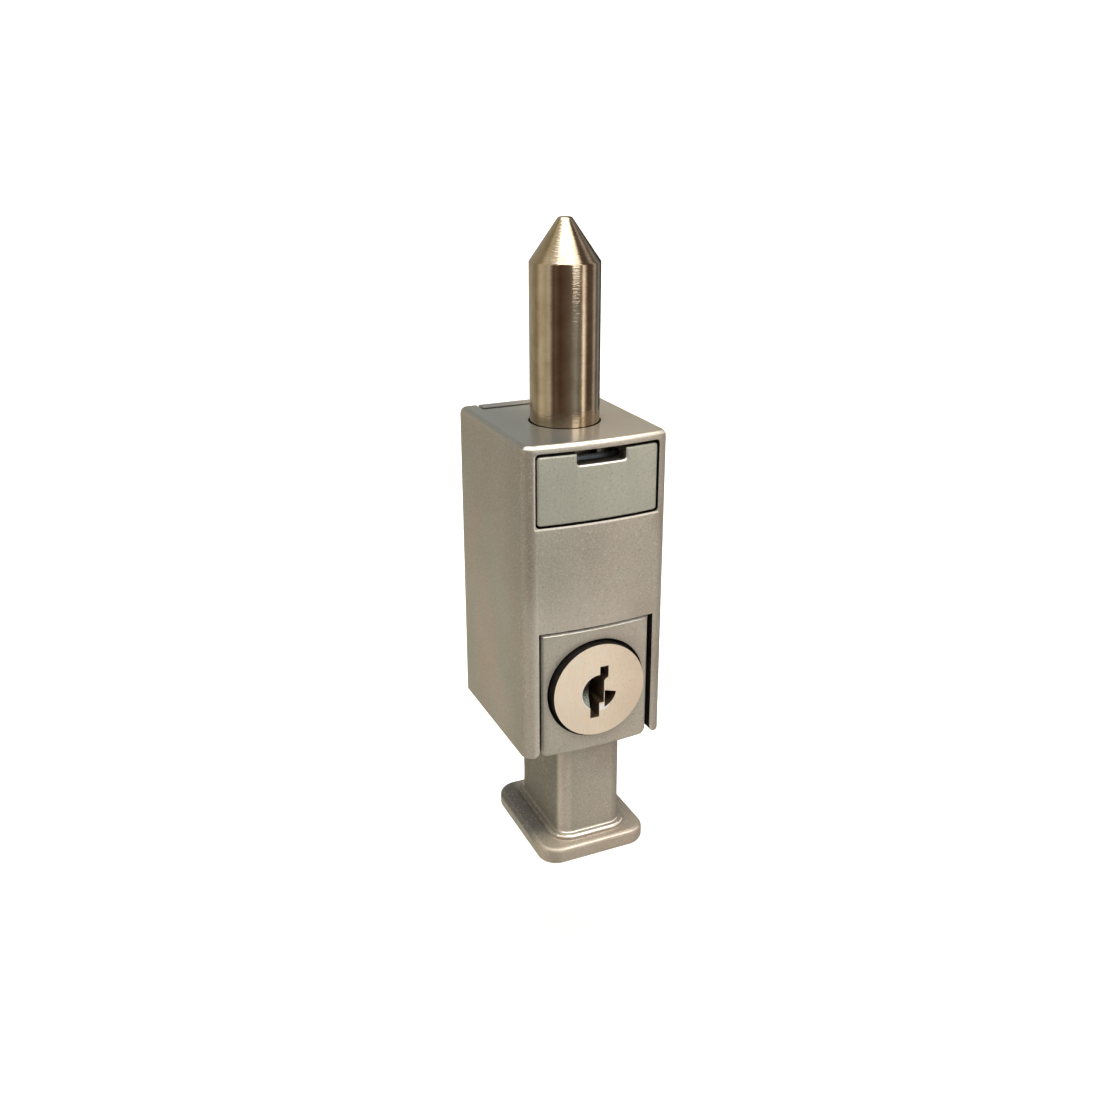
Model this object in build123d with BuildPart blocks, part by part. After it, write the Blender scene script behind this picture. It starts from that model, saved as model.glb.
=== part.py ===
from build123d import *
from math import sqrt
import os

# A surface bolt for a sliding patio door. The carriage slides down in the case and draws the
# bolt pin in; a wafer cylinder in the carriage turns the cam that locks it.
# Millimetres. X is to the right, Y runs into the door and Z is up. The origin is the centre of
# the mounting face, half way up the case, so the case lies in front of it, at negative Y.

# Case
case_width = 22.0
case_depth = 23.75
case_height = 46.5
case_crown = 0.9
case_wall = 1.6
case_corner_radius = 1.8
case_top_radius = 1.0
case_cavity_radius = 0.5

# Cover window and open notch in the front of the case
window_top_lip = 1.1
window_height = 10.4
window_side = 1.7
window_radius = 0.6
notch_width = 17.8
notch_height = 19.4
leg_radius = 1.0

# Cover plate and its spring clip
cover_gap = 0.3
cover_top_gap = 0.45
cover_seat_gap = 0.1
cover_corner_radius = 0.45
cover_edge_chamfer = 0.2
pry_notch_left = 3.4
pry_notch_right = 3.95
pry_notch_depth = 1.65
pry_notch_radius = 0.4
clip_thickness = 0.5
clip_height = 4.0
clip_arm = 4.7
clip_curl = 0.9
rivet_radius = 0.75
rivet_head_radius = 1.2
rivet_head_thickness = 0.4
rivet_x = 4.5
seat_ledge_width = 6.0
seat_ledge_height = 1.7
seat_ledge_depth = 1.2

# Bolt pin
pin_radius = 4.95
pin_shank_radius = 4.7
pin_y = -13.0
pin_shoulder = 22.25
pin_cone = 5.85
pin_tip_radius = 0.95
pin_tip_chamfer = 0.35
pin_step = 0.15
pin_hole_clearance = 0.35
pin_socket_z = 19.6

# Travel of the carriage: the straight part of the pin draws in
travel = 22.2

# Carriage
guide_clearance = 0.3
carriage_below_window = 1.0
carriage_base = -0.25
carriage_back = -5.8
carriage_corner_radius = 0.8
block_width = 16.8
block_setback = 0.35
block_top_gap = 0.4
block_edge_chamfer = 0.3
block_corner_radius = 1.0
stem_width = 10.3
stem_depth = 15.5
stem_y = -15.1
stem_corner_radius = 2.2
stem_root_chamfer = 0.35
pad_margin = 1.0
pad_height = 0.8
pad_edge_chamfer = 0.4
foot_width = 17.1
foot_depth = 20.3
foot_thickness = 2.7
foot_drop = 15.6
foot_corner_radius = 3.0
foot_edge_chamfer = 0.5
press_gap = 0.02
cross_pin_radius = 1.25
cross_pin_end_gap = 0.2

# Lock cylinder
cylinder_height = 9.55
face_radius = 7.3
face_proud = 1.35
face_thickness = 2.4
face_edge_chamfer = 0.2
face_gap = 0.3
housing_radius = 7.0
housing_front_gap = 0.2
bore_floor = -9.3
housing_end_gap = 0.05
barrel_radius = 5.0
running_gap = 0.1
tail_radius = 2.9
tail_hole_gap = 0.2
retaining_pin_radius = 0.8
retaining_pin_offset = 7.1
retaining_pin_y = -17.5
retaining_pin_inner_end = -3.0
driver_slot_width = 5.0
driver_slot_radius = 6.0
circlip_thickness = 0.5
circlip_radius = 5.9
circlip_groove_radius = 4.5
circlip_opening = 3.0
circlip_recess_radius = 6.3
circlip_recess_depth = 1.6
circlip_end_gap = 0.3

# Keyway: a Z-shaped slot across a round recess, seen from the front. The recess is shallow to
# the left of the slot and deep in a sector at its lower right
keyway_top = 3.2
keyway_top_left = 0.3
keyway_top_right = 1.42
keyway_left = -1.43
keyway_right = 0.75
keyway_upper_step = 1.87
keyway_lower_step = -2.1
keyway_slant = 0.48
keyway_bottom = -4.05
keyway_bottom_left = -1.25
keyway_bottom_right = 0.0
keyway_length = 13.4
recess_radius = 2.7
recess_drop = 0.35
recess_depth = 0.7
recess_deep = 2.4
recess_web = 0.1
recess_tilt = 16

# Wafers and their springs
wafer_count = 5
wafer_pitch = 2.0
wafer_first = 2.3
wafer_thickness = 0.6
wafer_width = 4.8
wafer_height = 8.6
wafer_bar = 0.6
wafer_gap = 0.05
wafer_ear = 1.1
wafer_ear_height = 0.7
wafer_spring_radius = 0.45
wafer_spring_sides = 8
wafer_spring_length = 2.5

# Cam on the tail of the plug
cam_square = 4.0
cam_square_gap = 0.05
cam_thickness = 1.4
cam_gap = 0.3
cam_hub_radius = 3.6
cam_reach = 7.5
cam_tip_radius = 2.0
cam_hole_radius = 1.25
cam_washer_radius = 3.2
cam_washer_thickness = 0.4
cam_head_radius = 2.3
cam_head_thickness = 0.8
cam_screw_length = 6.0

# Back plate, its rails, posts and stud
plate_thickness = 2.6
plate_side_gap = 0.1
plate_base = 0.3
tab_width = 16.2
tab_gap = 0.4
rail_clearance = 0.3
guide_rail_width = 2.4
guide_rail_x = -3.7
guide_rail_gap = 0.4
detent_rail_width = 3.4
detent_rail_base = 2.0
rail_end_gap = 0.5
detent_groove_width = 2.8
detent_groove_depth = 0.9
detent_dimple_depth = 0.25
detent_dimple_radius = 1.6
detent_radius = 1.25
detent_centre = -6.0
detent_below_top = 2.5
detent_edge = 2.0
detent_hole_depth = 6.5
detent_hole_gap = 0.1
detent_spring_bore = 0.8
fixing_spacing = 30.0
fixing_hole_radius = 2.1
fixing_head_radius = 3.8
fixing_head_angle = 90
post_radius = 1.7
post_inset = 0.1
post_z = 2.6
post_length = 8.5
post_screw_depth = 6.0
ear_thickness = 2.9
ear_half_height = 2.1
ear_width = 3.6
screw_radius = 1.2
screw_gap = 0.05
screw_head_radius = 1.8
screw_head_thickness = 1.5
screw_recess_length = 1.9
screw_recess_width = 0.4
screw_recess_depth = 0.75
keeper_width = 2.4
keeper_height = 2.8
keeper_gap = 0.4
keeper_chamfer = 0.3
keeper_overlap = 1.8
keeper_shank_radius = 0.9
keeper_shank_end = 0.3

# Guide strap round the pin
strap_thickness = 1.0
strap_height = 2.6
strap_top = 42.75
strap_pin_gap = 0.3
strap_bend = 1.2
strap_end_gap = 0.3
strap_slot_gap = 0.05

# Heights and depths that follow from the sizes above
case_bottom = -case_height / 2
case_top = case_height / 2
inner_half_width = case_width / 2 - case_wall
cavity_front = case_wall - case_depth
window_top = case_top - window_top_lip
window_bottom = window_top - window_height
notch_top = case_bottom + notch_height
window_half_width = case_width / 2 - window_side
cover_rear = cavity_front - cover_seat_gap
cover_half_width = window_half_width - cover_gap
front_radius = (case_width**2 / 4 + case_crown**2) / (2 * case_crown)
front_centre = front_radius - case_depth - case_crown

pin_shoulder_z = case_top + pin_shoulder
pin_bottom_z = case_bottom + pin_socket_z
pin_hole_radius = pin_radius + pin_hole_clearance

carriage_half_width = inner_half_width - guide_clearance
carriage_front = cavity_front + guide_clearance
carriage_bottom = case_bottom + carriage_base
carriage_top = window_bottom - carriage_below_window
block_top = notch_top - block_top_gap
foot_top_z = case_bottom - foot_drop
cross_pin_z = (pin_bottom_z + carriage_top) / 2

cylinder_z = case_bottom + cylinder_height
face_front = -case_depth - face_proud
face_back = face_front + face_thickness
bore_radius = housing_radius + running_gap
housing_front = face_back + housing_front_gap
housing_back = bore_floor - housing_end_gap
barrel_back = housing_back - circlip_end_gap
keyway_back = face_front + keyway_length
tail_back = carriage_back + cam_gap
cam_back = tail_back + cam_thickness
wafer_depths = [face_back + wafer_first + wafer_pitch * i for i in range(wafer_count)]

plate_front = -plate_thickness
plate_bottom = case_bottom + plate_base
plate_half_width = inner_half_width - plate_side_gap
rail_front = carriage_back + rail_clearance
rail_top = carriage_top + rail_end_gap
detent_x = carriage_half_width - detent_edge
detent_z = carriage_top - detent_below_top
post_x = plate_half_width - post_radius - post_inset
post_centre_z = window_bottom + post_z
post_front = plate_front - post_length
ear_front = post_front - ear_thickness
keeper_right = -cam_reach + keeper_overlap
keeper_left = keeper_right - keeper_width
keeper_top = cylinder_z - cam_tip_radius - keeper_gap
keeper_bottom = keeper_top - keeper_height
keeper_front = carriage_back - keeper_overlap
keeper_x = (keeper_left + keeper_right) / 2
keeper_z = (keeper_bottom + keeper_top) / 2
strap_half_width = pin_radius + strap_pin_gap + strap_thickness / 2
strap_front = pin_y - strap_half_width
strap_bottom_z = case_bottom + strap_top - strap_height


def front_y(x, setback=0.0):
    """Y of the crowned front at x, set back behind it."""
    return front_centre - sqrt((front_radius - setback) ** 2 - x**2)


def crowned_outline(half_width, setback, back):
    """Plan outline with the crowned front and a straight back."""
    side_y = front_y(half_width, setback)
    with BuildSketch() as outline:
        with BuildLine():
            ThreePointArc((-half_width, side_y), (0, front_y(0, setback)), (half_width, side_y))
            Polyline((half_width, side_y), (half_width, back), (-half_width, back), (-half_width, side_y))
        make_face()
    return outline.sketch


def upright(y):
    """Plane at y that faces the front: its own x is X and its own y is Z."""
    return Plane((0, y, 0), x_dir=(1, 0, 0), z_dir=(0, -1, 0))


def keyway_outline():
    """Z-shaped outline of the keyway about the cylinder's axis."""
    with BuildSketch() as outline:
        with BuildLine():
            Polyline(
                (keyway_top_left, keyway_top),
                (keyway_top_right, keyway_top),
                (keyway_top_right, keyway_upper_step),
                (keyway_right, keyway_upper_step - keyway_slant),
                (keyway_right, keyway_lower_step),
                (keyway_bottom_right, keyway_lower_step),
                (keyway_bottom_right, keyway_bottom),
                (keyway_bottom_left, keyway_bottom),
                (keyway_bottom_left, keyway_lower_step),
                (keyway_left, keyway_lower_step + keyway_slant),
                (keyway_left, keyway_upper_step),
                (keyway_top_left, keyway_upper_step + keyway_slant),
                close=True,
            )
        make_face()
    return outline.sketch


case_outline = crowned_outline(case_width / 2, 0, 0)
cover_outline = crowned_outline(cover_half_width, 0, cover_rear)
block_outline = crowned_outline(block_width / 2, block_setback, carriage_front + carriage_corner_radius)
keyway = keyway_outline()

# Outer case: a crowned box, open at the back and at the bottom
with BuildPart() as outer_case:
    with BuildSketch(Plane.XY.offset(case_bottom)):
        add(case_outline)
    extrude(amount=case_height)
    fillet(outer_case.edges().filter_by(Axis.Z).group_by(Axis.Y)[0], case_corner_radius)
    top_edges = outer_case.faces().sort_by(Axis.Z)[-1].edges()
    fillet(top_edges.group_by(Axis.Y)[:-1], case_top_radius)
    # cavity
    with BuildSketch(Plane.XY.offset(case_bottom)) as cavity:
        with Locations((0, cavity_front / 2)):
            Rectangle(2 * inner_half_width, -cavity_front)
        fillet(cavity.vertices().group_by(Axis.Y)[0], case_cavity_radius)
    extrude(amount=case_height - case_wall, mode=Mode.SUBTRACT)
    # window, cut past the rounded corners of the cavity
    with BuildSketch(upright(cavity_front + case_cavity_radius)):
        with Locations((0, (window_bottom + window_top) / 2)):
            RectangleRounded(2 * window_half_width, window_height, window_radius)
    extrude(amount=case_depth, mode=Mode.SUBTRACT)
    # ears for the case screws
    with BuildSketch(upright(post_front)):
        with GridLocations(2 * inner_half_width - ear_width, 0, 2, 1):
            with Locations((0, post_centre_z)):
                Rectangle(ear_width, 2 * ear_half_height)
    extrude(amount=ear_thickness)
    # ledge that the cover plate seats on
    with BuildSketch(upright(cavity_front + seat_ledge_depth)):
        with Locations((0, carriage_top + guide_clearance)):
            Rectangle(seat_ledge_width, seat_ledge_height, align=(Align.CENTER, Align.MIN))
    extrude(amount=seat_ledge_depth)
    # notch and screw holes
    with BuildSketch(upright(cavity_front)):
        with Locations((0, case_bottom)):
            Rectangle(notch_width, 2 * notch_height)
    extrude(amount=case_depth, mode=Mode.SUBTRACT)
    with BuildSketch(upright(post_front)):
        with Locations((-post_x, post_centre_z), (post_x, post_centre_z)):
            Circle(screw_radius + screw_gap)
    extrude(amount=ear_thickness, mode=Mode.SUBTRACT)
    # rounded inner corners at the lower ends of the two front legs
    leg_corners = outer_case.edges().filter_by(Axis.Y).group_by(Axis.Z)[0]
    fillet(leg_corners.filter_by_position(Axis.X, -notch_width / 2, notch_width / 2), leg_radius)
    # way of the bolt pin, past the ears and out at the top, and the slot for the back plate's tab
    with BuildSketch(Plane.XY.offset(case_bottom)):
        with Locations((0, pin_y)):
            Circle(pin_hole_radius)
    extrude(amount=case_height, mode=Mode.SUBTRACT)
    with BuildSketch(Plane.XY.offset(case_top - case_wall)):
        with Locations((0, plate_front - tab_gap + case_depth / 2)):
            Rectangle(tab_width + 2 * tab_gap, case_depth)
    extrude(amount=case_wall, mode=Mode.SUBTRACT)

# Back plate: rails, screw posts, fixing holes and the tab that shows at the top
with BuildPart() as back_plate:
    with BuildSketch(Plane.XZ):
        with Locations((0, (plate_bottom + case_top - case_wall) / 2)):
            Rectangle(2 * plate_half_width, case_top - case_wall - plate_bottom - plate_side_gap)
        with Locations((0, case_top - case_wall)):
            Rectangle(tab_width, 2 * case_wall)
    extrude(amount=plate_thickness)
    with BuildSketch(upright(plate_front)):
        guide_bottom = cylinder_z + cam_reach + guide_rail_gap
        with Locations((guide_rail_x, (guide_bottom + rail_top) / 2)):
            Rectangle(guide_rail_width, rail_top - guide_bottom)
        detent_bottom = case_bottom + detent_rail_base
        with Locations((detent_x, (detent_bottom + rail_top) / 2)):
            Rectangle(detent_rail_width, rail_top - detent_bottom)
    extrude(amount=plate_front - rail_front)
    with BuildSketch(upright(plate_front)):
        with Locations((-post_x, post_centre_z), (post_x, post_centre_z)):
            Circle(post_radius)
    extrude(amount=post_length)
    with BuildSketch(upright(post_front)):
        with Locations((-post_x, post_centre_z), (post_x, post_centre_z)):
            Circle(screw_radius + screw_gap)
    extrude(amount=-post_screw_depth, mode=Mode.SUBTRACT)
    # run of the detent ball, with a dimple at each end of its travel
    with BuildSketch(upright(rail_front)):
        with Locations((detent_x, 0)):
            Rectangle(detent_groove_width, 2 * case_height)
    extrude(amount=-detent_groove_depth, mode=Mode.SUBTRACT)
    groove_floor = rail_front + detent_groove_depth
    for station_z in (detent_z, detent_z - travel):
        with Locations((detent_x, groove_floor + detent_dimple_depth - detent_dimple_radius, station_z)):
            Sphere(detent_dimple_radius, mode=Mode.SUBTRACT)
    # holes: door screws, keeper stud and guide strap
    with Locations(upright(plate_front)):
        with GridLocations(0, fixing_spacing, 1, 2):
            CounterSinkHole(
                fixing_hole_radius, fixing_head_radius, plate_thickness, fixing_head_angle
            )
    with BuildSketch(Plane.XZ):
        with Locations((keeper_x, keeper_z)):
            Circle(keeper_shank_radius + press_gap)
        with Locations((0, strap_bottom_z + strap_height / 2)):
            with GridLocations(2 * strap_half_width, 0, 2, 1):
                Rectangle(strap_thickness + 2 * strap_slot_gap, strap_height + 2 * strap_slot_gap)
    extrude(amount=plate_thickness, mode=Mode.SUBTRACT)

# Keeper stud: the cam stands on it when the bolt is thrown and locked
with BuildPart() as keeper_stud:
    with BuildSketch(upright(plate_front)):
        with Locations((keeper_x, keeper_z)):
            Rectangle(keeper_width, keeper_height)
    extrude(amount=plate_front - keeper_front)
    chamfer(keeper_stud.faces().sort_by(Axis.Y)[0].edges(), keeper_chamfer)
    with BuildSketch(upright(plate_front)):
        with Locations((keeper_x, keeper_z)):
            Circle(keeper_shank_radius)
    extrude(amount=keeper_shank_end - plate_thickness)

# Guide strap: bent round the bolt pin, its legs staked in the back plate
with BuildPart() as guide_strap:
    with BuildSketch(Plane.XY.offset(strap_bottom_z)):
        with BuildLine():
            FilletPolyline(
                (-strap_half_width, -strap_end_gap),
                (-strap_half_width, strap_front),
                (strap_half_width, strap_front),
                (strap_half_width, -strap_end_gap),
                radius=strap_bend,
            )
        trace(line_width=strap_thickness)
    extrude(amount=strap_height)

# Case screws: two pan heads through the ears into the posts
with BuildPart() as case_screws:
    with Locations(upright(ear_front)):
        with Locations((-post_x, post_centre_z), (post_x, post_centre_z)):
            Cylinder(screw_head_radius, screw_head_thickness, align=(Align.CENTER, Align.CENTER, Align.MIN))
            Cylinder(
                screw_radius,
                ear_thickness + post_screw_depth - screw_gap,
                align=(Align.CENTER, Align.CENTER, Align.MAX),
            )
    with BuildSketch(upright(ear_front - screw_head_thickness)):
        with Locations((-post_x, post_centre_z), (post_x, post_centre_z)):
            Rectangle(screw_recess_length, screw_recess_width)
            Rectangle(screw_recess_width, screw_recess_length)
    extrude(amount=-screw_recess_depth, mode=Mode.SUBTRACT)

# Cover plate: a slice of the crowned front with the pry notch in its top edge
with BuildPart() as cover_plate:
    cover_bottom = window_bottom + cover_gap
    cover_top = window_top - cover_top_gap
    with BuildSketch(Plane.XY.offset(cover_bottom)):
        add(cover_outline)
    extrude(amount=cover_top - cover_bottom)
    fillet(cover_plate.edges().filter_by(Axis.Y), cover_corner_radius)
    with BuildSketch(upright(cover_rear)) as pry_notch:
        with Locations(((pry_notch_right - pry_notch_left) / 2, cover_top)):
            Rectangle(pry_notch_left + pry_notch_right, 2 * pry_notch_depth)
        fillet(pry_notch.vertices().group_by(Axis.Z)[0], pry_notch_radius)
    extrude(amount=case_depth, mode=Mode.SUBTRACT)
    chamfer(cover_plate.faces().sort_by(Axis.Y)[0].edges(), cover_edge_chamfer)
    # peened bosses that hold the clip
    clip_z = (cover_bottom + cover_top - pry_notch_depth) / 2
    with BuildSketch(upright(cover_rear)):
        with Locations((-rivet_x, clip_z), (rivet_x, clip_z)):
            Circle(rivet_radius)
    extrude(amount=-clip_thickness)
    with BuildSketch(upright(cover_rear + clip_thickness)):
        with Locations((-rivet_x, clip_z), (rivet_x, clip_z)):
            Circle(rivet_head_radius)
    extrude(amount=-rivet_head_thickness)

# Cover clip: a spring strip whose two arms grip between the side walls
with BuildPart() as cover_clip:
    arm_x = cover_half_width - clip_thickness / 2
    arm_y = cover_rear + clip_arm
    with BuildSketch(Plane.XY.offset(clip_z - clip_height / 2)):
        with BuildLine():
            base_y = cover_rear + clip_thickness / 2
            FilletPolyline(
                (-arm_x + clip_curl, arm_y + clip_curl),
                (-arm_x, arm_y),
                (-arm_x, base_y),
                (arm_x, base_y),
                (arm_x, arm_y),
                (arm_x - clip_curl, arm_y + clip_curl),
                radius=clip_curl,
            )
        trace(line_width=clip_thickness)
    extrude(amount=clip_height)
    with BuildSketch(upright(cover_rear)):
        with Locations((-rivet_x, clip_z), (rivet_x, clip_z)):
            Circle(rivet_radius + press_gap)
    extrude(amount=-clip_thickness, mode=Mode.SUBTRACT)

# Front block of the carriage, which fills the notch
with BuildPart() as front_block:
    with BuildSketch(Plane.XY.offset(carriage_bottom)):
        add(block_outline)
    extrude(amount=block_top - carriage_bottom)
    fillet(front_block.edges().filter_by(Axis.Y).group_by(Axis.Z)[0], block_corner_radius)
    chamfer(front_block.faces().sort_by(Axis.Y)[0].edges(), block_edge_chamfer)

# Carriage: foot, pad, stem, sliding body and front block in one casting
with BuildPart() as carriage:
    with BuildSketch(Plane.XY.offset(foot_top_z - foot_thickness)):
        with Locations((0, stem_y)):
            RectangleRounded(foot_width, foot_depth, foot_corner_radius)
    extrude(amount=foot_thickness)
    chamfer(carriage.edges().filter_by(Plane.XY), foot_edge_chamfer)
    with BuildSketch(Plane.XY.offset(foot_top_z)):
        with Locations((0, stem_y)):
            RectangleRounded(
                stem_width + 2 * pad_margin, stem_depth + 2 * pad_margin, stem_corner_radius + pad_margin
            )
    extrude(amount=pad_height)
    chamfer(carriage.faces().sort_by(Axis.Z)[-1].edges(), pad_edge_chamfer)
    with BuildSketch(Plane.XY.offset(foot_top_z)):
        with Locations((0, stem_y)):
            RectangleRounded(stem_width, stem_depth, stem_corner_radius)
    extrude(amount=carriage_bottom - foot_top_z)
    with BuildSketch(Plane.XY.offset(carriage_bottom)):
        with Locations((0, (carriage_front + carriage_back) / 2)):
            RectangleRounded(
                2 * carriage_half_width, carriage_back - carriage_front, carriage_corner_radius
            )
    extrude(amount=carriage_top - carriage_bottom)
    add(front_block.part)
    # bevelled root of the stem
    under_edges = carriage.edges().filter_by_position(
        Axis.Z, carriage_bottom - press_gap, carriage_bottom + press_gap
    )
    stem_edges = under_edges.filter_by_position(
        Axis.X, -stem_width / 2 - press_gap, stem_width / 2 + press_gap
    ).filter_by_position(
        Axis.Y, stem_y - stem_depth / 2 - press_gap, stem_y + stem_depth / 2 + press_gap
    )
    chamfer(stem_edges, stem_root_chamfer)
    # lock cylinder: mouth for the turning face, bore for the housing, hole for the tail
    for floor, radius in (
        (housing_front, face_radius + face_gap),
        (bore_floor, bore_radius),
        (carriage_back, tail_radius + tail_hole_gap),
    ):
        with BuildSketch(upright(floor)):
            with Locations((0, cylinder_z)):
                Circle(radius)
        extrude(amount=case_depth, mode=Mode.SUBTRACT)
    # socket of the bolt pin
    with BuildSketch(Plane.XY.offset(pin_bottom_z)):
        with Locations((0, pin_y)):
            Circle(pin_shank_radius + press_gap)
    extrude(amount=case_height, mode=Mode.SUBTRACT)
    # run of the keeper stud, closed at both ends to stop the carriage
    run_bottom = keeper_bottom - guide_clearance
    run_top = keeper_top + travel + guide_clearance
    with BuildSketch(upright(carriage_back)):
        with Locations((keeper_x, (run_bottom + run_top) / 2)):
            Rectangle(keeper_width + 2 * guide_clearance, run_top - run_bottom)
    extrude(amount=keeper_overlap + guide_clearance, mode=Mode.SUBTRACT)
    # holes of the detent, the cross pin and the retaining pin
    with BuildSketch(upright(carriage_back)):
        with Locations((detent_x, detent_z)):
            Circle(detent_radius + detent_hole_gap)
    extrude(amount=detent_hole_depth, mode=Mode.SUBTRACT)
    with BuildSketch(Plane.YZ.offset(-carriage_half_width)):
        with Locations((pin_y, cross_pin_z)):
            Circle(cross_pin_radius + press_gap)
    extrude(amount=2 * carriage_half_width, mode=Mode.SUBTRACT)
    with BuildSketch(Plane.YZ.offset(retaining_pin_inner_end)):
        with Locations((retaining_pin_y, cylinder_z + retaining_pin_offset)):
            Circle(retaining_pin_radius + press_gap)
    extrude(amount=carriage_half_width - retaining_pin_inner_end, mode=Mode.SUBTRACT)

# Bolt pin: a turned shank, the full diameter outside the case and a conical tip
with BuildPart() as bolt_pin:
    with BuildSketch(upright(pin_y)):
        with BuildLine():
            step_z = case_top + pin_step
            tip_z = pin_shoulder_z + pin_cone
            Polyline(
                (0, pin_bottom_z),
                (pin_shank_radius, pin_bottom_z),
                (pin_shank_radius, step_z),
                (pin_radius, step_z),
                (pin_radius, pin_shoulder_z),
                (pin_tip_radius, tip_z),
                (0, tip_z),
                close=True,
            )
        make_face()
    revolve(axis=Axis((0, pin_y, 0), (0, 0, 1)))
    chamfer(bolt_pin.edges().filter_by(GeomType.CIRCLE).sort_by(Axis.Z)[-1], pin_tip_chamfer)
    with BuildSketch(Plane.YZ.offset(-pin_radius)):
        with Locations((pin_y, cross_pin_z)):
            Circle(cross_pin_radius + press_gap)
    extrude(amount=2 * pin_radius, mode=Mode.SUBTRACT)

# Cross pin through the carriage and the bolt pin
with BuildPart() as bolt_cross_pin:
    cross_pin_end = carriage_half_width - cross_pin_end_gap
    with BuildSketch(Plane.YZ.offset(-cross_pin_end)):
        with Locations((pin_y, cross_pin_z)):
            Circle(cross_pin_radius)
    extrude(amount=2 * cross_pin_end)

# Housing of the cylinder, with the slots that the wafers drop into
with BuildPart() as cylinder_body:
    with BuildSketch(upright(housing_back)):
        with Locations((0, cylinder_z)):
            Circle(housing_radius)
    extrude(amount=housing_back - housing_front)
    with BuildSketch(upright(housing_back)):
        with Locations((0, cylinder_z)):
            Circle(barrel_radius + running_gap)
    extrude(amount=housing_back - housing_front, mode=Mode.SUBTRACT)
    with BuildSketch(upright(housing_back)):
        with Locations((0, cylinder_z)):
            Circle(circlip_recess_radius)
    extrude(amount=circlip_recess_depth, mode=Mode.SUBTRACT)
    slot_front = wafer_depths[0] - wafer_pitch / 2
    with BuildSketch(upright(slot_front)):
        with Locations((0, cylinder_z)):
            Rectangle(driver_slot_width, 2 * driver_slot_radius)
            Rectangle(2 * driver_slot_radius, driver_slot_width)
    extrude(amount=-wafer_count * wafer_pitch, mode=Mode.SUBTRACT)
    with BuildSketch(Plane.YZ.offset(-housing_radius)):
        with Locations((retaining_pin_y, cylinder_z + retaining_pin_offset)):
            Circle(retaining_pin_radius + press_gap)
    extrude(amount=2 * housing_radius, mode=Mode.SUBTRACT)

# Pin that holds the housing, across its top
with BuildPart() as cylinder_retaining_pin:
    with BuildSketch(Plane.YZ.offset(retaining_pin_inner_end)):
        with Locations((retaining_pin_y, cylinder_z + retaining_pin_offset)):
            Circle(retaining_pin_radius)
    extrude(amount=carriage_half_width - cross_pin_end_gap - retaining_pin_inner_end)

# Detent ball and the spring behind it
with BuildPart() as detent_ball:
    with Locations((detent_x, detent_centre, detent_z)):
        Sphere(detent_radius)

with BuildPart() as detent_spring:
    with BuildSketch(upright(detent_centre - detent_radius)):
        with Locations((detent_x, detent_z)):
            Circle(detent_radius)
            Circle(detent_spring_bore, mode=Mode.SUBTRACT)
    extrude(amount=detent_hole_depth + carriage_back - detent_centre - 2 * detent_radius)

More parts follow.
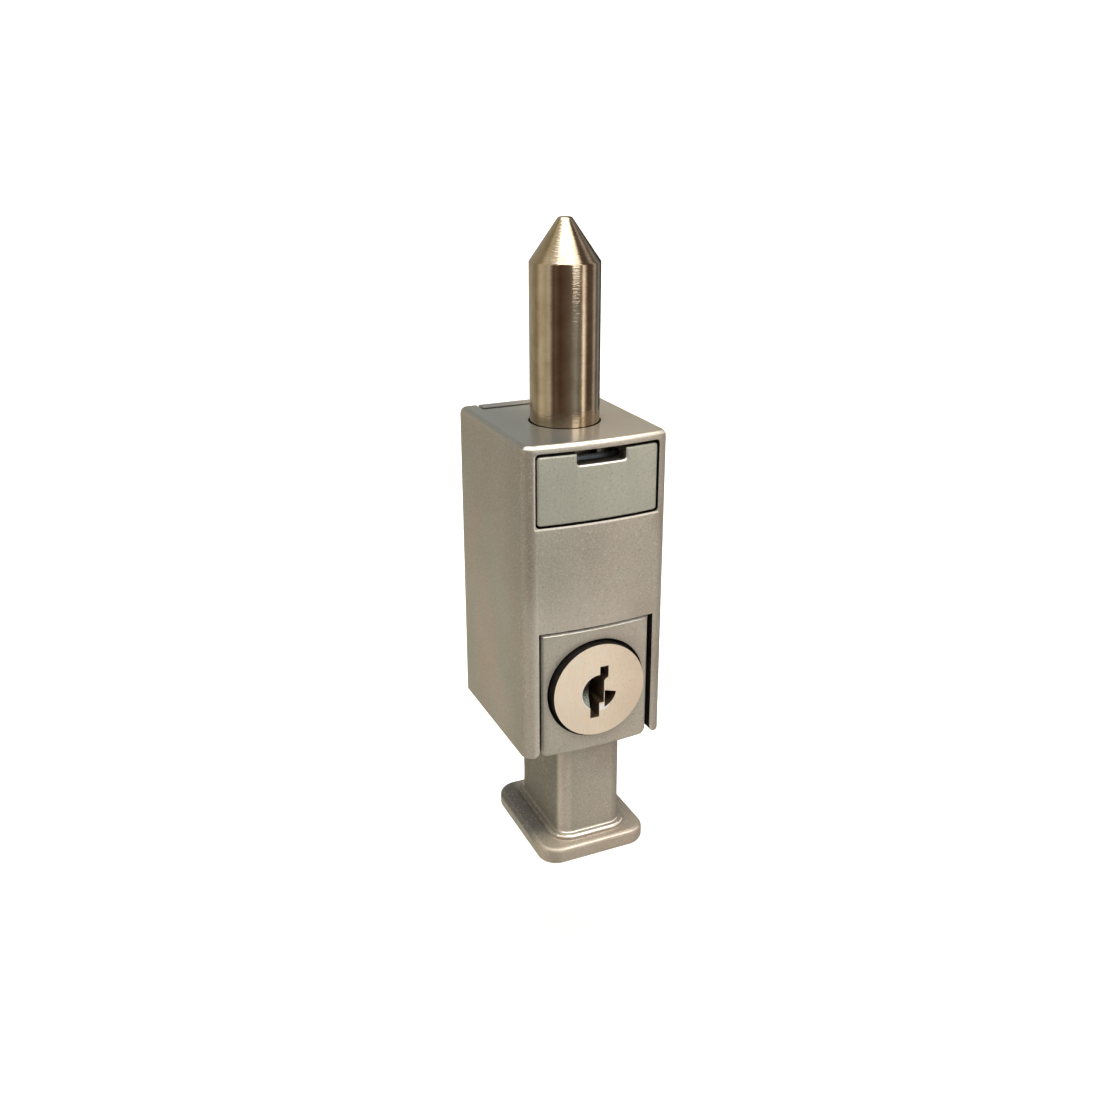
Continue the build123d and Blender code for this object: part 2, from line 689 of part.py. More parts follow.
# Plug: round face with the keyway, barrel with the wafer slots, tail with a square end
with BuildPart() as cylinder_plug:
    with BuildSketch(upright(face_back)):
        with Locations((0, cylinder_z)):
            Circle(face_radius)
    extrude(amount=face_thickness)
    chamfer(cylinder_plug.faces().sort_by(Axis.Y)[0].edges(), face_edge_chamfer)
    with BuildSketch(upright(barrel_back)):
        with Locations((0, cylinder_z)):
            Circle(barrel_radius)
    extrude(amount=barrel_back - face_back)
    with BuildSketch(upright(tail_back)):
        with Locations((0, cylinder_z)):
            Circle(tail_radius)
    extrude(amount=tail_back - barrel_back)
    with BuildSketch(upright(cam_back)):
        with Locations((0, cylinder_z)):
            Rectangle(cam_square, cam_square)
    extrude(amount=cam_thickness)
    # groove of the circlip
    groove_back = barrel_back - circlip_thickness
    with BuildSketch(upright(groove_back)):
        with Locations((0, cylinder_z)):
            Circle(2 * barrel_radius)
            Circle(circlip_groove_radius, mode=Mode.SUBTRACT)
    extrude(amount=circlip_thickness + 2 * press_gap, mode=Mode.SUBTRACT)
    # keyway, the left half of the recess and its deep sector, past a thin web
    with BuildSketch(upright(keyway_back)):
        with Locations((0, cylinder_z)):
            add(keyway)
    extrude(amount=keyway_length, mode=Mode.SUBTRACT)
    recess_z = cylinder_z - recess_drop
    with BuildSketch(upright(face_front)):
        with Locations((0, recess_z)):
            Circle(recess_radius)
            Rectangle(
                recess_radius, 2 * recess_radius, align=(Align.MIN, Align.CENTER), mode=Mode.SUBTRACT
            )
    extrude(amount=-recess_depth, mode=Mode.SUBTRACT)
    with BuildSketch(upright(face_front)):
        with Locations((0, recess_z)):
            Circle(recess_radius)
        with Locations((keyway_right + recess_web, recess_z)):
            Rectangle(
                recess_radius, 2 * recess_radius, align=(Align.MIN, Align.CENTER), mode=Mode.INTERSECT
            )
        with Locations((0, cylinder_z)):
            Rectangle(
                4 * recess_radius,
                2 * recess_radius,
                rotation=-recess_tilt,
                align=(Align.CENTER, Align.MIN),
                mode=Mode.SUBTRACT,
            )
    extrude(amount=-recess_deep, mode=Mode.SUBTRACT)
    # wafer slots with a side pocket each, and the hole of the cam screw
    for depth in wafer_depths:
        with BuildSketch(upright(depth + wafer_thickness / 2 + wafer_gap)):
            with Locations((0, cylinder_z)):
                Rectangle(wafer_width + 2 * wafer_gap, 2 * barrel_radius)
        extrude(amount=wafer_thickness + 2 * wafer_gap, mode=Mode.SUBTRACT)
        with BuildSketch(upright(depth + wafer_spring_radius + wafer_gap)):
            with Locations((wafer_width / 2, cylinder_z - wafer_spring_length)):
                Rectangle(
                    wafer_ear + wafer_gap,
                    wafer_spring_length + wafer_ear_height + 2 * wafer_gap,
                    align=(Align.MIN, Align.MIN),
                )
        extrude(amount=2 * (wafer_spring_radius + wafer_gap), mode=Mode.SUBTRACT)
    with BuildSketch(upright(cam_back)):
        with Locations((0, cylinder_z)):
            Circle(cam_hole_radius + press_gap)
    extrude(amount=cam_screw_length, mode=Mode.SUBTRACT)

# Wafers: five flat plates, each with a window for the key and an ear for its spring
with BuildPart() as wafers:
    for depth in wafer_depths:
        with BuildSketch(upright(depth + wafer_thickness / 2)):
            with Locations((0, cylinder_z)):
                Rectangle(wafer_width, wafer_height)
            with Locations((wafer_width / 2, cylinder_z + wafer_gap)):
                Rectangle(wafer_ear, wafer_ear_height, align=(Align.MIN, Align.MIN))
            with Locations((0, cylinder_z)):
                Rectangle(
                    wafer_width - 2 * wafer_bar, wafer_height - 2 * wafer_bar, mode=Mode.SUBTRACT
                )
        extrude(amount=wafer_thickness)

# Wafer springs, standing in the side pockets under the ears
with BuildPart() as wafer_springs:
    for depth in wafer_depths:
        with BuildSketch(Plane.XY.offset(cylinder_z - wafer_spring_length + wafer_gap)):
            with Locations((wafer_width / 2 + wafer_ear / 2, depth)):
                RegularPolygon(wafer_spring_radius, wafer_spring_sides)
        extrude(amount=wafer_spring_length - wafer_gap)

# Circlip behind the housing, in the plug's groove
with BuildPart() as plug_circlip:
    with BuildSketch(upright(groove_back)):
        with Locations((0, cylinder_z)):
            Circle(circlip_radius)
            Circle(circlip_groove_radius + press_gap, mode=Mode.SUBTRACT)
        with Locations((0, cylinder_z)):
            Rectangle(
                circlip_opening, 2 * circlip_radius, align=(Align.CENTER, Align.MAX), mode=Mode.SUBTRACT
            )
    extrude(amount=circlip_thickness)

# Cam: points up when unlocked
with BuildPart() as cam:
    with BuildSketch(upright(cam_back)):
        with BuildSketch(mode=Mode.PRIVATE) as cam_rounds:
            with Locations((0, cylinder_z)):
                Circle(cam_hub_radius)
            with Locations((0, cylinder_z + cam_reach - cam_tip_radius)):
                Circle(cam_tip_radius)
        make_hull(cam_rounds.sketch.edges())
        with Locations((0, cylinder_z)):
            Rectangle(
                cam_square + 2 * cam_square_gap, cam_square + 2 * cam_square_gap, mode=Mode.SUBTRACT
            )
    extrude(amount=cam_thickness)

with BuildPart() as cam_washer:
    with BuildSketch(upright(cam_back + cam_washer_thickness)):
        with Locations((0, cylinder_z)):
            Circle(cam_washer_radius)
            Circle(cam_hole_radius + screw_gap, mode=Mode.SUBTRACT)
    extrude(amount=cam_washer_thickness)

with BuildPart() as cam_screw:
    head_front = cam_back + cam_washer_thickness
    with BuildSketch(upright(head_front + cam_head_thickness)):
        with Locations((0, cylinder_z)):
            Circle(cam_head_radius)
    extrude(amount=cam_head_thickness)
    with BuildSketch(upright(head_front)):
        with Locations((0, cylinder_z)):
            Circle(cam_hole_radius)
    extrude(amount=cam_screw_length - press_gap)

pieces = {
    "outer_case": outer_case,
    "back_plate": back_plate,
    "keeper_stud": keeper_stud,
    "guide_strap": guide_strap,
    "case_screws": case_screws,
    "cover_plate": cover_plate,
    "cover_clip": cover_clip,
    "carriage": carriage,
    "bolt_pin": bolt_pin,
    "bolt_cross_pin": bolt_cross_pin,
    "cylinder_body": cylinder_body,
    "cylinder_retaining_pin": cylinder_retaining_pin,
    "detent_ball": detent_ball,
    "detent_spring": detent_spring,
    "cylinder_plug": cylinder_plug,
    "wafers": wafers,
    "wafer_springs": wafer_springs,
    "plug_circlip": plug_circlip,
    "cam": cam,
    "cam_washer": cam_washer,
    "cam_screw": cam_screw,
}

os.makedirs("parts", exist_ok=True)
for name, piece in pieces.items():
    piece.part.label = name
    export_step(piece.part, f"parts/{name}.step")
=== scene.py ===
# %% [markdown]
# # A patio door bolt in satin silver grey
#
# The bolt is a small die-cast case with a sliding carriage in it. The carriage carries a turned
# steel pin, which stands out at the top, and a wafer lock, whose round face shows at the bottom.
# The measured model comes in first and stays as it is. The looks are built round it: the pieces
# that show get softly rounded copies or new meshes, and every metal gets its own finish.

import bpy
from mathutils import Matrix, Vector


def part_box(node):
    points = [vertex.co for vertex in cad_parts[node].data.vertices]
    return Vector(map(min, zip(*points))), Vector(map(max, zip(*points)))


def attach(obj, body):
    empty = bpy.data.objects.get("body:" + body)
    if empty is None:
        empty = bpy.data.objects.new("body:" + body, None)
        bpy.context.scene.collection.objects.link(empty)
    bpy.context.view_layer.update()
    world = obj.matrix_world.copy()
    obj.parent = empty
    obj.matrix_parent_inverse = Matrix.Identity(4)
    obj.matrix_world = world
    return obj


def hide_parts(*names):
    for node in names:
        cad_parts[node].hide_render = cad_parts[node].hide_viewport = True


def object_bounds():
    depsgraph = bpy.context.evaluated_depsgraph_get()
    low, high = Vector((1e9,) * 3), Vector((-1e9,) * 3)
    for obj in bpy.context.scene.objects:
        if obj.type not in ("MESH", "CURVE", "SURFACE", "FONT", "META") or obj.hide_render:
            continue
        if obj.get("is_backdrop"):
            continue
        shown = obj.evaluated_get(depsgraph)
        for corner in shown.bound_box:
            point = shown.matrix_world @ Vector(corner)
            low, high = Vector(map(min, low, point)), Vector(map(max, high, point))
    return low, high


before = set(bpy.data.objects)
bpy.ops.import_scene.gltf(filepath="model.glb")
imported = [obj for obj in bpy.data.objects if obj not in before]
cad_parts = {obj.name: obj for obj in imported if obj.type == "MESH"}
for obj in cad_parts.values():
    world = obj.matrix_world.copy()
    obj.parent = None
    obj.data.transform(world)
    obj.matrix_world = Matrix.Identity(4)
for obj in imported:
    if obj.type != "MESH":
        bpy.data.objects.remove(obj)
cad_box = [list(corner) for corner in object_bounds()]

from math import atan2, cos, pi, radians, sin

import bmesh
import bpy
from mathutils import Vector

MM = 0.001


def box_in_mm(node):
    """The low and the high corner of a measured node, in millimetres."""
    return [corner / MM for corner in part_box(node)]


case_low, case_high = box_in_mm("outer_case")
cover_low, cover_high = box_in_mm("cover_plate")
carriage_low = box_in_mm("carriage")[0]
pin_low, pin_high = box_in_mm("bolt_pin")
lock_low, lock_high = box_in_mm("cylinder_plug")
rounded_box = [[round(value / MM, 2) for value in corner] for corner in cad_box]
print("nodes", len(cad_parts), "box in mm", rounded_box)

# %% [markdown]
# ## Where the camera stands
#
# The photograph was taken from a hand's breadth above the bolt and to its left, close enough for
# the upright edges to lean together. The place and the focal length come from fitting the case's
# straight edges, so they are typed in as numbers. The small downward shift keeps the bolt in the
# frame as it is in the photograph.

# %% Camera
camera_place = (-66.63, -157.51, 65.89)
tilted_down, rolled, turned_right = 0.331, 0.002, 0.4196
camera_data = bpy.data.cameras.new("camera")
camera_data.sensor_width = 36.0
camera_data.lens = 37.98
camera_data.shift_y = -0.0455
camera_data.clip_start = 0.01
camera = bpy.data.objects.new("camera", camera_data)
bpy.context.scene.collection.objects.link(camera)
camera.location = [value * MM for value in camera_place]
camera.rotation_euler = (pi / 2 - tilted_down, rolled, -turned_right)
bpy.context.scene.camera = camera
print("camera to the case's middle, mm", round(camera.location.length / MM, 1))

# %% [markdown]
# ## Floor
#
# The floor takes the soft shadow and throws some light back up. It is one large plane, so that
# no edge of it comes into any view. The bolt hangs on a door, so the floor lies lower than the
# foot, also when the foot is pulled down.

# %% Floor
foot_travel = 22.2
floor_gap = 1.0
floor_z = cad_box[0][2] - (foot_travel + floor_gap) * MM
bpy.ops.object.select_all(action="DESELECT")
bpy.ops.mesh.primitive_plane_add(size=6.0, location=(0, 0, floor_z))
floor = bpy.context.object
floor.name = "floor"
bpy.ops.object.transform_apply(location=True, rotation=True, scale=True)
floor.visible_glossy = False
floor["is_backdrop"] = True
print("floor at z in mm", round(floor_z / MM, 2))


# %% [markdown]
# ## Writing finishes as sums
#
# A finish is easier to read as arithmetic than as a picture of nodes. A `Wire` is one output in
# a node tree, and adding or multiplying wires adds the Math node that does it. A `Recipe` holds
# the tree: `node` makes every other kind of node, `axes` takes a place apart, `mix` blends two
# colours, and `layers` lays several paints one over the other.

# %% Wires
class Wire:
    """One output of a node tree, on which sums can be written."""

    def __init__(self, recipe, socket):
        self.recipe = recipe
        self.socket = socket

    def math(self, operation, first, second=0.0):
        return self.recipe.node("Math", {"operation": operation}, {0: first, 1: second})

    def __add__(self, other):
        return self.math("ADD", self, other)

    def __sub__(self, other):
        return self.math("SUBTRACT", self, other)

    def __rsub__(self, other):
        return self.math("SUBTRACT", other, self)

    def __mul__(self, other):
        return self.math("MULTIPLY", self, other)

    def __truediv__(self, other):
        return self.math("DIVIDE", self, other)

    def __abs__(self):
        return self.math("ABSOLUTE", self)

    def fade(self, start, end):
        """0 at start and 1 at end, soft between them."""
        return self.recipe.node(
            "MapRange",
            {"interpolation_type": "SMOOTHSTEP"},
            {"Value": self, "From Min": start, "From Max": end},
        )

    __radd__ = __add__
    __rmul__ = __mul__


# %% Recipes
class Recipe:
    """A node tree being filled."""

    def __init__(self, tree):
        self.tree = tree
        tree.nodes.clear()

    def node(self, kind, settings, inputs, output=0):
        """Makes a node, sets it up, joins its sockets and gives one output as a wire."""
        made = self.tree.nodes.new("ShaderNode" + kind)
        for key, value in settings.items():
            if key == "stops":
                ramp = made.color_ramp
                while len(ramp.elements) < len(value):
                    ramp.elements.new(1.0)
                for stop, (place, colour) in zip(ramp.elements, value):
                    stop.position = place
                    stop.color = (*colour, 1.0)
            else:
                setattr(made, key, value)
        for key, value in inputs.items():
            if isinstance(value, Wire):
                self.tree.links.new(value.socket, made.inputs[key])
            elif hasattr(value, "__len__") and len(value) == 3 and made.inputs[key].type == "RGBA":
                made.inputs[key].default_value = (*value, 1.0)
            else:
                made.inputs[key].default_value = value
        return Wire(self, made.outputs[output]) if made.outputs else None

    def axes(self, place):
        """The x, y and z of a place, as three wires from one node."""
        parts = self.node("SeparateXYZ", {}, {0: place})
        return [Wire(self, socket) for socket in parts.socket.node.outputs]

    def mix(self, mask, under, over):
        """Colour under where the mask is 0, and over where it is 1."""
        return self.node("Mix", {"data_type": "RGBA"}, {0: mask, 6: under, 7: over}, output=2)

    def layers(self, colour, paints):
        """Lays each (mask, paint) over the colour, the first one lowest."""
        for mask, paint in paints:
            colour = self.mix(mask, colour, paint)
        return colour


# %% [markdown]
# ## Room light
#
# Satin metal looks like what is round it, so the room matters as much as the finish. A real
# studio has a bright window in front, and a darker side where the photographer stands. Walls and
# a ceiling could be modelled, but they would stand in the way of another view. A world shader
# holds the same room without them: it turns the direction of a ray into an angle and looks the
# light up on a ramp. The pin and the rounded edges mirror that ramp as upright bands, so its
# stops are as narrow as the bands that the photograph shows.

# %% Walls of the room
world = bpy.data.worlds.new("room")
world.use_nodes = True
bpy.context.scene.world = world
room = Recipe(world.node_tree)
ray_x, ray_y, ray_z = room.axes(room.node("TexCoord", {}, {}, "Generated"))
# angle round the object in turns: 0 is behind it, 0.25 left, 0.5 straight in front, 0.75 right
turn = ray_x.math("ARCTAN2", ray_x, 0 - ray_y) / (2 * pi) + 0.5
walls = [
    # the pale wall behind, and a bright one on the left
    (0.00, (0.60, 0.55, 0.46)),
    (0.07, (0.58, 0.54, 0.43)),
    (0.15, (0.42, 0.37, 0.25)),
    (0.20, (0.92, 0.82, 0.63)),
    (0.26, (0.64, 0.58, 0.43)),
    (0.29, (0.85, 0.75, 0.64)),
    # the dark side, where the photographer stands
    (0.325, (0.13, 0.08, 0.06)),
    (0.35, (0.20, 0.14, 0.10)),
    (0.39, (0.12, 0.07, 0.05)),
    (0.48, (0.24, 0.19, 0.15)),
    # straight in front, and the strip of window beside it
    (0.53, (0.45, 0.46, 0.44)),
    (0.57, (0.24, 0.21, 0.17)),
    (0.588, (0.50, 0.44, 0.36)),
    (0.60, (2.35, 2.12, 1.90)),
    (0.612, (1.80, 1.62, 1.45)),
    (0.63, (0.42, 0.34, 0.29)),
    # the right, dark with two pale strips
    (0.645, (0.14, 0.10, 0.07)),
    (0.70, (0.18, 0.14, 0.11)),
    (0.73, (0.80, 0.72, 0.69)),
    (0.765, (0.15, 0.13, 0.10)),
    (0.80, (0.42, 0.41, 0.40)),
    (0.85, (0.06, 0.055, 0.05)),
    (0.89, (0.10, 0.09, 0.08)),
    (0.93, (0.48, 0.47, 0.43)),
]
wall_light = room.node("ValToRGB", {"stops": walls}, {"Fac": turn})
print("room light stops", len(walls))

# %% Ceiling, window and backdrop
# the height of a ray is its z: 0 is level and 1 is straight up
ceiling = ray_z.fade(0.80, 0.86)
window = ray_z.fade(0.60, 0.66) * turn.fade(0.475, 0.52) * turn.fade(0.63, 0.605)
skylight = ray_z.fade(0.78, 0.90) * ray_z.fade(0.985, 0.94)
backdrop = room.node("LightPath", {}, {}, "Is Camera Ray")
light = room.layers(wall_light, [
    (ceiling, (1.0, 0.98, 0.94)),
    (window, (2.8, 2.7, 2.5)),
    (skylight, (3.4, 3.3, 3.1)),
    (backdrop, (1.6, 1.6, 1.6)),
])
background = room.node("Background", {}, {"Color": light, "Strength": 0.8})
room.node("OutputWorld", {}, {"Surface": background})
print("nodes in the room", len(room.tree.nodes))

# %% [markdown]
# ## Lamps
#
# The room gives the reflections, but hardly a shadow. Two square lamps stand for the softboxes
# of a studio, one above and one in front. A very wide sun brightens what looks up. It is hidden
# from reflections, because a sun would show in the pin as a second window.

# %% Soft lamps
def soft_lamp(name, place, size, watts, colour):
    """A square lamp that looks at the bolt's middle."""
    data = bpy.data.lights.new(name, "AREA")
    data.shape = "SQUARE"
    data.size = size
    data.energy = watts
    data.color = colour
    lamp = bpy.data.objects.new(name, data)
    lamp.location = place
    lamp.rotation_euler = (-Vector(place)).to_track_quat("-Z", "Y").to_euler()
    bpy.context.scene.collection.objects.link(lamp)


soft_lamp("lamp_above", (-0.05, -0.15, 0.65), size=0.5, watts=1.2, colour=(1.0, 0.98, 0.94))
soft_lamp("lamp_front", (0.15, -0.7, 0.3), size=0.3, watts=0.6, colour=(1.0, 0.97, 0.93))

sky_data = bpy.data.lights.new("lamp_sky", "SUN")
sky_data.energy = 2.6
sky_data.angle = radians(70)
sky = bpy.data.objects.new("lamp_sky", sky_data)
sky.rotation_euler = (radians(12), radians(-8), 0)
sky.visible_glossy = False
bpy.context.scene.collection.objects.link(sky)

# %% [markdown]
# ## What every finish starts and ends with
#
# A finish could be wrapped on with an unfolded map, but these pieces have hundreds of small
# faces. Coordinates of the object itself need no unfolding, run unbroken over every edge, and
# count in millimetres here, so that the scale of a grain can be read off its number. Every
# finish ends in the same surface with a bump. The floor is the first one: pale paper with slow
# clouds.

# %% Starting and closing a material
def start_finish(name):
    """A material with the object's own coordinates in millimetres."""
    material = bpy.data.materials.new(name)
    material.use_nodes = True
    recipe = Recipe(material.node_tree)
    place = recipe.node("TexCoord", {}, {}, "Object")
    place = recipe.node("VectorMath", {"operation": "SCALE"}, {0: place, "Scale": 1 / MM})
    return material, recipe, place


def noise(recipe, place, scale, detail=2.0, roughness=0.5, stretch=None):
    """Noise from 0 to 1 with that many features in a millimetre."""
    if stretch:
        place = recipe.node("VectorMath", {"operation": "MULTIPLY"}, {0: place, 1: stretch})
    return recipe.node(
        "TexNoise",
        {"normalize": True},
        {"Vector": place, "Scale": scale, "Detail": detail, "Roughness": roughness},
    )


def dots(recipe, place, scale, inner, outer):
    """1 in small round dots, that many in a millimetre, and 0 between them."""
    cells = recipe.node("TexVoronoi", {}, {"Vector": place, "Scale": scale, "Randomness": 1.0})
    return 1 - cells.fade(inner, outer)


def finish_surface(recipe, colour, roughness, bump_height, metallic=1.0, bump=0.02):
    """The closing nodes: a Principled surface with a bump, its depth in millimetres."""
    normal = recipe.node(
        "Bump", {}, {"Height": bump_height, "Distance": bump * MM, "Strength": 1.0}
    )
    sockets = {
        "Base Color": colour,
        "Roughness": roughness,
        "Metallic": metallic,
        "Normal": normal,
    }
    surface = recipe.node("BsdfPrincipled", {}, sockets)
    recipe.node("OutputMaterial", {}, {"Surface": surface})


# %% Floor finish
floor_finish, recipe, place = start_finish("pale_floor")
paper = noise(recipe, place, 0.02, detail=3.0)
floor_colour = recipe.mix(paper, (0.90, 0.90, 0.89), (0.93, 0.93, 0.92))
finish_surface(recipe, floor_colour, 0.7, paper, metallic=0.0, bump=0.01)
floor.data.materials.append(floor_finish)
print("floor finish", floor_finish.name)

# %% [markdown]
# ## Painted light and shade on the castings
#
# The castings aren't alike all over. The case's flanks have a faint rosy bloom in streaks.
# Light and shade are painted into the colour too: the case is painted darker towards its top
# and on its flanks, and warmer on the right of its top, with a painted highlight along its
# upper front edge and thin painted highlights under and beside the cover's window, and its
# lower front is painted lighter. The foot is painted paler on its front and darker on its
# left. Each such place is a mask made of distances, where it can from the measured boxes,
# with a paint to lay on it. The painted highlights could also sit on narrow faces of their
# own, but the edge at the window is too narrow for a face that shows.

# %% Places on the castings
case_half = case_high.x
case_top = case_high.z
case_depth = -case_low.y
window_gap = 0.30
window_low = cover_low.z - window_gap
window_half = cover_high.x + window_gap
foot_bottom = carriage_low.z
foot_height, pad_height = 2.7, 0.8
foot_top = foot_bottom + foot_height
pad_top = foot_top + pad_height
stem_joint = -23.9
# outlines: half width, half depth and corner radius
FOOT = (8.55, 10.15, 3.0)
PAD = (6.15, 8.75, 3.2)
STEM = (5.15, 7.75, 2.2)
stem_half = STEM[0]
print("window from z", round(window_low, 2), "foot's rim at z", round(foot_top, 2))

# %% Painted light and shade on the case
def case_tone_and_painted_light(recipe, place, top):
    """Paints for the case: rosy streaks, painted shade, painted light and painted highlights,
    where top is the mask of its upper side.
    """
    x, y, z = recipe.axes(place)
    left, out = 0 - x, 0 - y
    streaks = noise(recipe, place, 0.4, stretch=(1.0, 0.8, 0.22))
    side = abs(x).fade(case_half - 0.40, case_half - 0.05)
    left_rounding = (left.fade(case_half - 2.0, case_half - 1.1) - side) * out.fade(20, 22)
    on_front = out.fade(case_depth - 1.85, case_depth - 1.45)
    below_top = z.fade(case_top - 0.55, case_top - 0.39) * z.fade(case_top - 0.03, case_top - 0.17)
    under = z.fade(window_low - 0.34, window_low - 0.24) * z.fade(window_low, window_low - 0.08)
    under = under * abs(x).fade(window_half + 0.20, window_half)
    beside = left.fade(window_half, window_half + 0.06)
    beside = beside * left.fade(window_half + 0.28, window_half + 0.20)
    beside = beside * z.fade(window_low - 0.3, window_low)
    beside = beside * z.fade(cover_high.z + 0.4, cover_high.z - 0.1)
    low_front = out.fade(case_depth - 1.85, case_depth - 0.65) * z.fade(8, -6) * x.fade(9, 2)
    return [
        (side * streaks.fade(0.34, 0.66) * 0.26, (0.54, 0.33, 0.25)),
        # painted shade: the flanks darker towards the front
        (side * out.fade(15, 21) * 0.30, (0.24, 0.23, 0.19)),
        # painted shade: the left flank darker towards its top
        (left.fade(case_half - 1.4, case_half - 0.1) * z.fade(-8, 22) * 0.4, (0.20, 0.18, 0.15)),
        # painted shade on the rounded left front corner
        (left_rounding * 0.35, (0.24, 0.18, 0.13)),
        # painted shade: the whole case darker towards its top
        (z.fade(-6, 14) * 0.15, (0.26, 0.25, 0.22)),
        # painted shade on the left part of the top
        (top * left.fade(-1, 8) * 0.75, (0.15, 0.16, 0.155)),
        # painted warm light on the right part of the top
        (top * x.fade(-4, 1) * 0.35, (0.58, 0.47, 0.33)),
        # painted highlight along the upper front edge, broken by streaks
        (below_top * on_front * streaks.fade(0.25, 0.55) * 0.8, (0.98, 0.92, 0.80)),
        # painted highlight lines under and beside the window
        ((under * 0.75 + beside * 0.45) * on_front, (0.98, 0.93, 0.84)),
        # painted light on the lower front
        (low_front * 0.42, (0.76, 0.71, 0.63)),
    ]


# %% Painted light and shade on the cover and the carriage
# painted window light: how much of the pale grey goes on the cover and the block
window_light_share, painted_window_light = 0.22, (0.72, 0.68, 0.60)


def cover_painted_light(recipe, place, top):
    """Painted light: the cover and the block turn to the window, so they are painted paler than
    the case.
    """
    return [(window_light_share, painted_window_light)]


def carriage_painted_light(recipe, place, top):
    """Painted shade, painted light and painted highlights for the stem, the foot and the block."""
    x, y, z = recipe.axes(place)
    left, out = 0 - x, 0 - y
    on_stem = z.fade(stem_joint + 0.5, stem_joint - 0.1) * z.fade(pad_top - 0.3, pad_top + 0.3)
    stem_left = left.fade(stem_half - 0.55, stem_half - 0.05)
    stem_rounding = left.fade(stem_half - 2.15, stem_half - 1.35)
    stem_rounding = stem_rounding - left.fade(stem_half - 0.35, stem_half - 0.05)
    foot_left = z.fade(pad_top - 1.9, pad_top - 1.2) * z.fade(pad_top + 0.3, pad_top - 0.1)
    foot_left = foot_left * left.fade(4.6, 6.2) * out.fade(23.5, 18.5)
    foot_front = z.fade(pad_top + 0.2, pad_top - 0.4) * out.fade(18, 23)
    crest = z.fade(foot_top - 0.34, foot_top - 0.26) * z.fade(foot_top - 0.12, foot_top - 0.20)
    crest = crest * out.fade(24.2, 24.6) * left.fade(6.4, 4.6)
    on_block = z.fade(stem_joint - 0.3, stem_joint + 1.1)
    return [
        # painted shade on the stem's left side and on the foot's top left of the pad
        (on_stem * stem_left * 0.55, (0.10, 0.09, 0.075)),
        (foot_left * 0.80, (0.08, 0.075, 0.075)),
        # painted light on the foot's front
        (foot_front * 0.35, (0.56, 0.44, 0.34)),
        # painted highlight along the foot's front top edge
        (crest * 0.7, (0.98, 0.86, 0.78)),
        # painted highlight on the stem's left front rounding
        (on_stem * stem_rounding * 0.45, (0.78, 0.68, 0.58)),
        # painted window light on the block
        (on_block * window_light_share, painted_window_light),
    ]


# %% [markdown]
# ## The satin finish of the castings
#
# Case, cover plate and carriage are zinc castings with a satin metallic lacquer. Close up such a
# lacquer is a fine grain of light and dark flakes over a skin that is never quite level, with a
# few small pits. So the finish has three scales: slow clouds that change the colour a little,
# the grain, and sparse pits, and the grain and pits also go into the bump. The case's top is
# smoother than the rest, so it mirrors the room's light like a pale sheet.

# %% Satin casting
def satin_casting(name, light_grey, dark_grey, tone_and_painted_light, sparkle=0.40):
    """The lacquer from two greys, with one casting's tone and painted light and shade between the
    clouds and the flakes.
    """
    material, recipe, place = start_finish(name)
    x, _, z = recipe.axes(place)
    clouds = noise(recipe, place, 0.11, detail=3.0)
    tint = noise(recipe, place, 0.23)
    grain = noise(recipe, place, 3.2, detail=4.0, roughness=0.65)
    flakes = noise(recipe, place, 3.8, detail=3.0, roughness=0.75)
    pit = dots(recipe, place, 0.55, 0.03, 0.075)
    top = z.fade(case_top - 0.75, case_top - 0.10)
    grain_shows = 1 - 0.8 * top
    green_tone_and_reflection = (0.35, 0.365, 0.31)
    colour = recipe.layers(recipe.mix(clouds.fade(0.35, 0.65), dark_grey, light_grey), [
        (tint.fade(0.5, 0.75) * 0.35, green_tone_and_reflection),
        # painted reflection: every casting greener towards the left
        ((0 - x).fade(-3, 9) * 0.45, green_tone_and_reflection),
        *tone_and_painted_light(recipe, place, top),
        (flakes.fade(0.46, 0.32) * 0.40 * grain_shows, (0.16, 0.155, 0.135)),
        (flakes.fade(0.54, 0.70) * sparkle * grain_shows, (0.78, 0.73, 0.62)),
        (pit * 0.6, (0.10, 0.09, 0.08)),
    ])
    roughness = (0.36 + 0.12 * grain + 0.05 * clouds) * (1 - 0.62 * top)
    height = (grain * 0.6 + flakes * 0.5 - pit * 2.0) * (1 - 0.93 * top)
    finish_surface(recipe, colour, roughness, height, metallic=0.62, bump=0.016)
    return material


case_finish = satin_casting("satin_case", (0.435, 0.39, 0.33), (0.375, 0.335, 0.28), case_tone_and_painted_light)
cover_finish = satin_casting(
    "satin_cover", (0.37, 0.385, 0.325), (0.315, 0.335, 0.28), cover_painted_light, sparkle=0.22
)
carriage_finish = satin_casting(
    "satin_carriage", (0.41, 0.37, 0.31), (0.35, 0.31, 0.26), carriage_painted_light
)
print("castings", case_finish.name, cover_finish.name, carriage_finish.name)

# %% [markdown]
# ## Turned steel for the bolt pin
#
# The pin is turned on a lathe and plated. The tool leaves rings that are far too fine to model,
# but they stretch every reflection along the pin into upright bands. A bump that changes only
# along the height does the same. A few deeper rings, broken ticks where the tool chattered and a
# little uneven plating keep it real.

